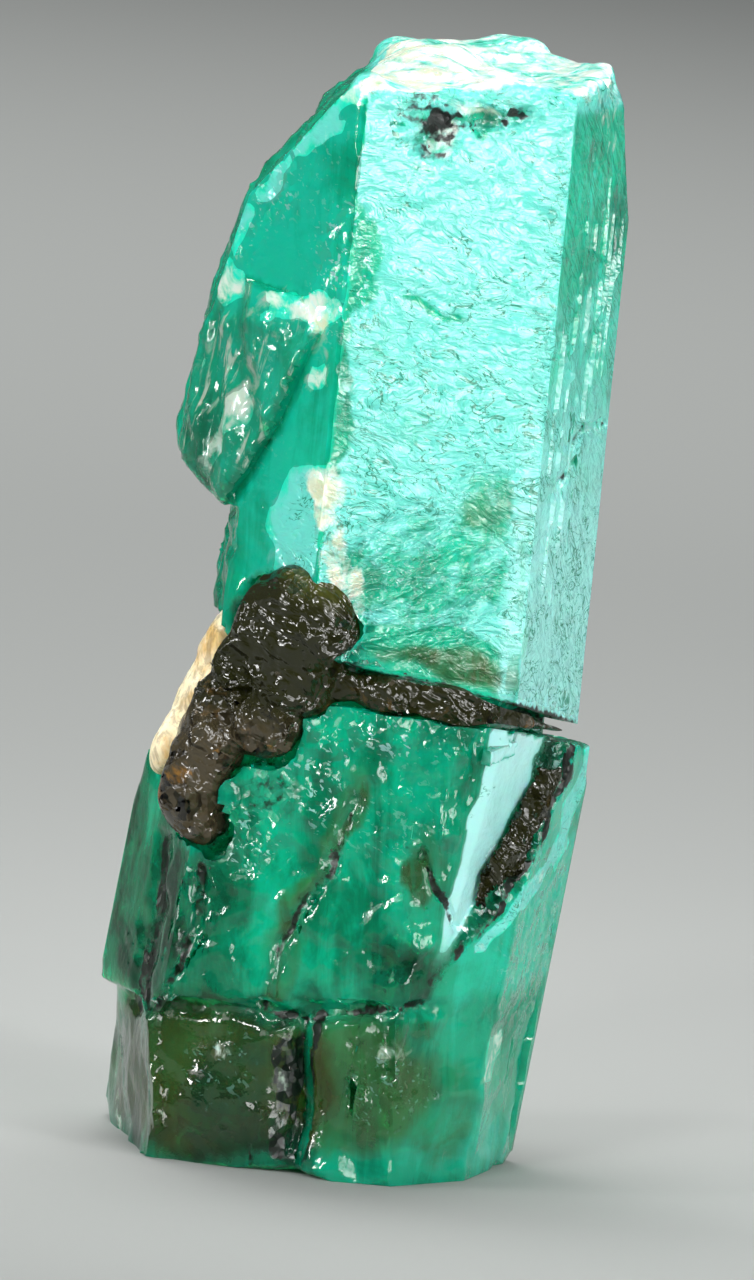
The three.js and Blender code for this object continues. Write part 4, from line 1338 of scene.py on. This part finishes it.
class EMERALD_OT_flecks(bpy.types.Operator):
    """Scatters mica flecks along the emerald's cracks, ledge and pits"""

    bl_idname = "emerald.flecks"
    bl_label = "Mica flecks"

    def execute(self, context):
        settings = context.scene.emerald_mica
        piece = bpy.data.objects.new("mica_flecks", bpy.data.objects["emerald"].data.copy())
        piece.data.materials.clear()
        context.scene.collection.objects.link(piece)
        scattered_flakes(
            piece,
            settings,
            Flake_radius=settings.flake * 0.5,
            Flakes_per_square_metre=settings.flakes * 2 * PER_SQUARE_METRE,
            Tilt=0.8,
            Seed=11,
            Keep_surface=False,
        )
        finish_piece(piece, None)
        return {"FINISHED"}


class EMERALD_OT_feldspar(bpy.types.Operator):
    """Builds the cream fibrous feldspar on the left edge"""

    bl_idname = "emerald.feldspar"
    bl_label = "Feldspar streak"

    def execute(self, context):
        settings = context.scene.emerald_feldspar
        piece = remeshed(merged_copy("feldspar", "feldspar_streak"), FELDSPAR_FINENESS)
        eased(piece.data, np.ones(len(piece.data.vertices)), FELDSPAR_ROUNDS)
        place, normal = corners_of(piece.data)
        fibres = rubble(place * np.array((2.2, 2.2, 0.4)), 0.6, 151, 3)
        depth = settings.relief / MM * (fibres + 0.6 * rubble(place, 0.5, 161, 2) + 0.9)
        set_corners(piece.data, place + normal * depth[:, None])
        smooth_shade(piece.data, FELDSPAR_SHARP)
        piece.data.materials.append(feldspar_material(settings))
        finish_piece(piece, "feldspar_streak")
        return {"FINISHED"}


class EMERALD_OT_stage(bpy.types.Operator):
    """Builds the pale floor, the softboxes and the camera"""

    bl_idname = "emerald.stage"
    bl_label = "Stage"

    def execute(self, context):
        settings = context.scene.emerald_stage
        self.floor(context, settings)
        self.lights(context, settings)
        self.camera(context)
        return {"FINISHED"}

    def floor(self, context, settings):
        mesh = bpy.data.meshes.new("floor")
        reach = FLOOR_REACH * MM
        corners = [(-reach, -reach, 0), (reach, -reach, 0), (reach, reach, 0), (-reach, reach, 0)]
        mesh.from_pydata(corners, [], [(0, 1, 2, 3)])
        floor = bpy.data.objects.new("floor", mesh)
        context.scene.collection.objects.link(floor)
        material, make = new_material("floor_paint")
        make.end({"Base Color": (*settings.floor, 1.0), "Roughness": 0.9})
        mesh.materials.append(material)
        world = bpy.data.worlds.new("surroundings")
        world.use_nodes = True
        background = world.node_tree.nodes["Background"]
        background.inputs["Color"].default_value = (*settings.sky, 1.0)
        background.inputs["Strength"].default_value = settings.air
        context.scene.world = world

    def lights(self, context, settings):
        crystal = Vector(LIGHT_TARGET)

        def beside_crystal(distance, azimuth, rise):
            return crystal + distance * Vector(direction(azimuth, rise))

        key = beside_crystal(130, -64, 11)
        level = Vector((0, 0, key.z))
        overhead = Vector((-30, 20, 165))
        wash = Vector((-40, 190, 420))
        # Each softbox: name, place, aim, width, height, radiance and half of its spread
        for name, place, aim, width, height, radiance, reach in (
            ("key", key, level, 50, 76, 12.0, 35),
            ("rim", beside_crystal(130, 56, 30), crystal, 90, 50, 3.5, 60),
            ("side", beside_crystal(130, -30, 9), crystal, 40, 70, 10.0, 30),
            ("sparkle", beside_crystal(150, -40, 32), crystal, 26, 26, 45.0, 15),
            ("glint", beside_crystal(150, -112, 38), crystal, 24, 24, 60.0, 12),
            ("edge", beside_crystal(150, -152, 14), crystal, 22, 60, 38.0, 20),
            ("fill", beside_crystal(150, -145, 28), crystal, 70, 70, 4.0, 30),
            ("overhead", overhead, crystal, 80, 80, 10.5, 30),
            ("wash", wash, Vector(WASH_TARGET), 300, 300, 14.0, 40),
        ):
            half = math.radians(reach)
            light = bpy.data.lights.new(name, "AREA")
            light.shape = "RECTANGLE"
            light.size = width * MM
            light.size_y = height * MM
            light.spread = 2 * half
            narrowed = 1 - half / math.tan(half)
            power = radiance * math.pi * width * height * MM**2
            light.energy = settings.softness * power * narrowed
            lamp = bpy.data.objects.new(name, light)
            lamp.location = place * MM
            lamp.rotation_mode = "QUATERNION"
            lamp.rotation_quaternion = (place - aim).to_track_quat("Z", "Y")
            context.scene.collection.objects.link(lamp)

    def camera(self, context):
        lens = bpy.data.cameras.new("view")
        lens.sensor_width = SENSOR
        lens.lens = lens.sensor_width * VIEW_DISTANCE / (IMAGE_HEIGHT * MM_PER_PIXEL)
        lens.clip_start = NEAREST_SEEN * MM
        lens.clip_end = FARTHEST_SEEN * MM
        camera = bpy.data.objects.new("view", lens)
        back = Vector((0, -math.cos(VIEW_RISE), math.sin(VIEW_RISE)))
        camera.location = (Vector(VIEW_TARGET) + back * VIEW_DISTANCE) * MM
        camera.rotation_mode = "QUATERNION"
        upright = (-back).to_track_quat("-Z", "Y")
        camera.rotation_quaternion = upright @ Quaternion((0, 0, 1), VIEW_ROLL)
        context.scene.collection.objects.link(camera)
        context.scene.camera = camera
        context.scene.view_settings.view_transform = "Standard"


class EMERALD_PT_panel(bpy.types.Panel):
    """Lists the pieces of the crystal and their settings"""

    bl_idname = "EMERALD_PT_panel"
    bl_label = "Emerald crystal"
    bl_space_type = "VIEW_3D"
    bl_region_type = "UI"
    bl_category = "Emerald"

    def draw(self, context):
        for name, group in GROUPS.items():
            column = self.layout.column()
            for setting in group.__annotations__:
                column.prop(getattr(context.scene, name), setting)
        for operator in OPERATORS:
            self.layout.operator(operator.bl_idname)


GROUPS = {
    "emerald_crystal": EmeraldSettings,
    "emerald_mica": MicaSettings,
    "emerald_feldspar": FeldsparSettings,
    "emerald_stage": StageSettings,
}
OPERATORS = (
    EMERALD_OT_crystal,
    EMERALD_OT_mica,
    EMERALD_OT_film,
    EMERALD_OT_flecks,
    EMERALD_OT_feldspar,
    EMERALD_OT_stage,
)


def register():
    for name, group in GROUPS.items():
        bpy.utils.register_class(group)
        setattr(bpy.types.Scene, name, PointerProperty(type=group))
    for operator in OPERATORS:
        bpy.utils.register_class(operator)
    bpy.utils.register_class(EMERALD_PT_panel)


def unregister():
    bpy.utils.unregister_class(EMERALD_PT_panel)
    for operator in reversed(OPERATORS):
        bpy.utils.unregister_class(operator)
    for name, group in reversed(GROUPS.items()):
        delattr(bpy.types.Scene, name)
        bpy.utils.unregister_class(group)


def main():
    register()
    bpy.ops.emerald.crystal()
    bpy.ops.emerald.mica()
    bpy.ops.emerald.film()
    bpy.ops.emerald.flecks()
    bpy.ops.emerald.feldspar()
    bpy.ops.emerald.stage()


if __name__ == "__main__":
    main()
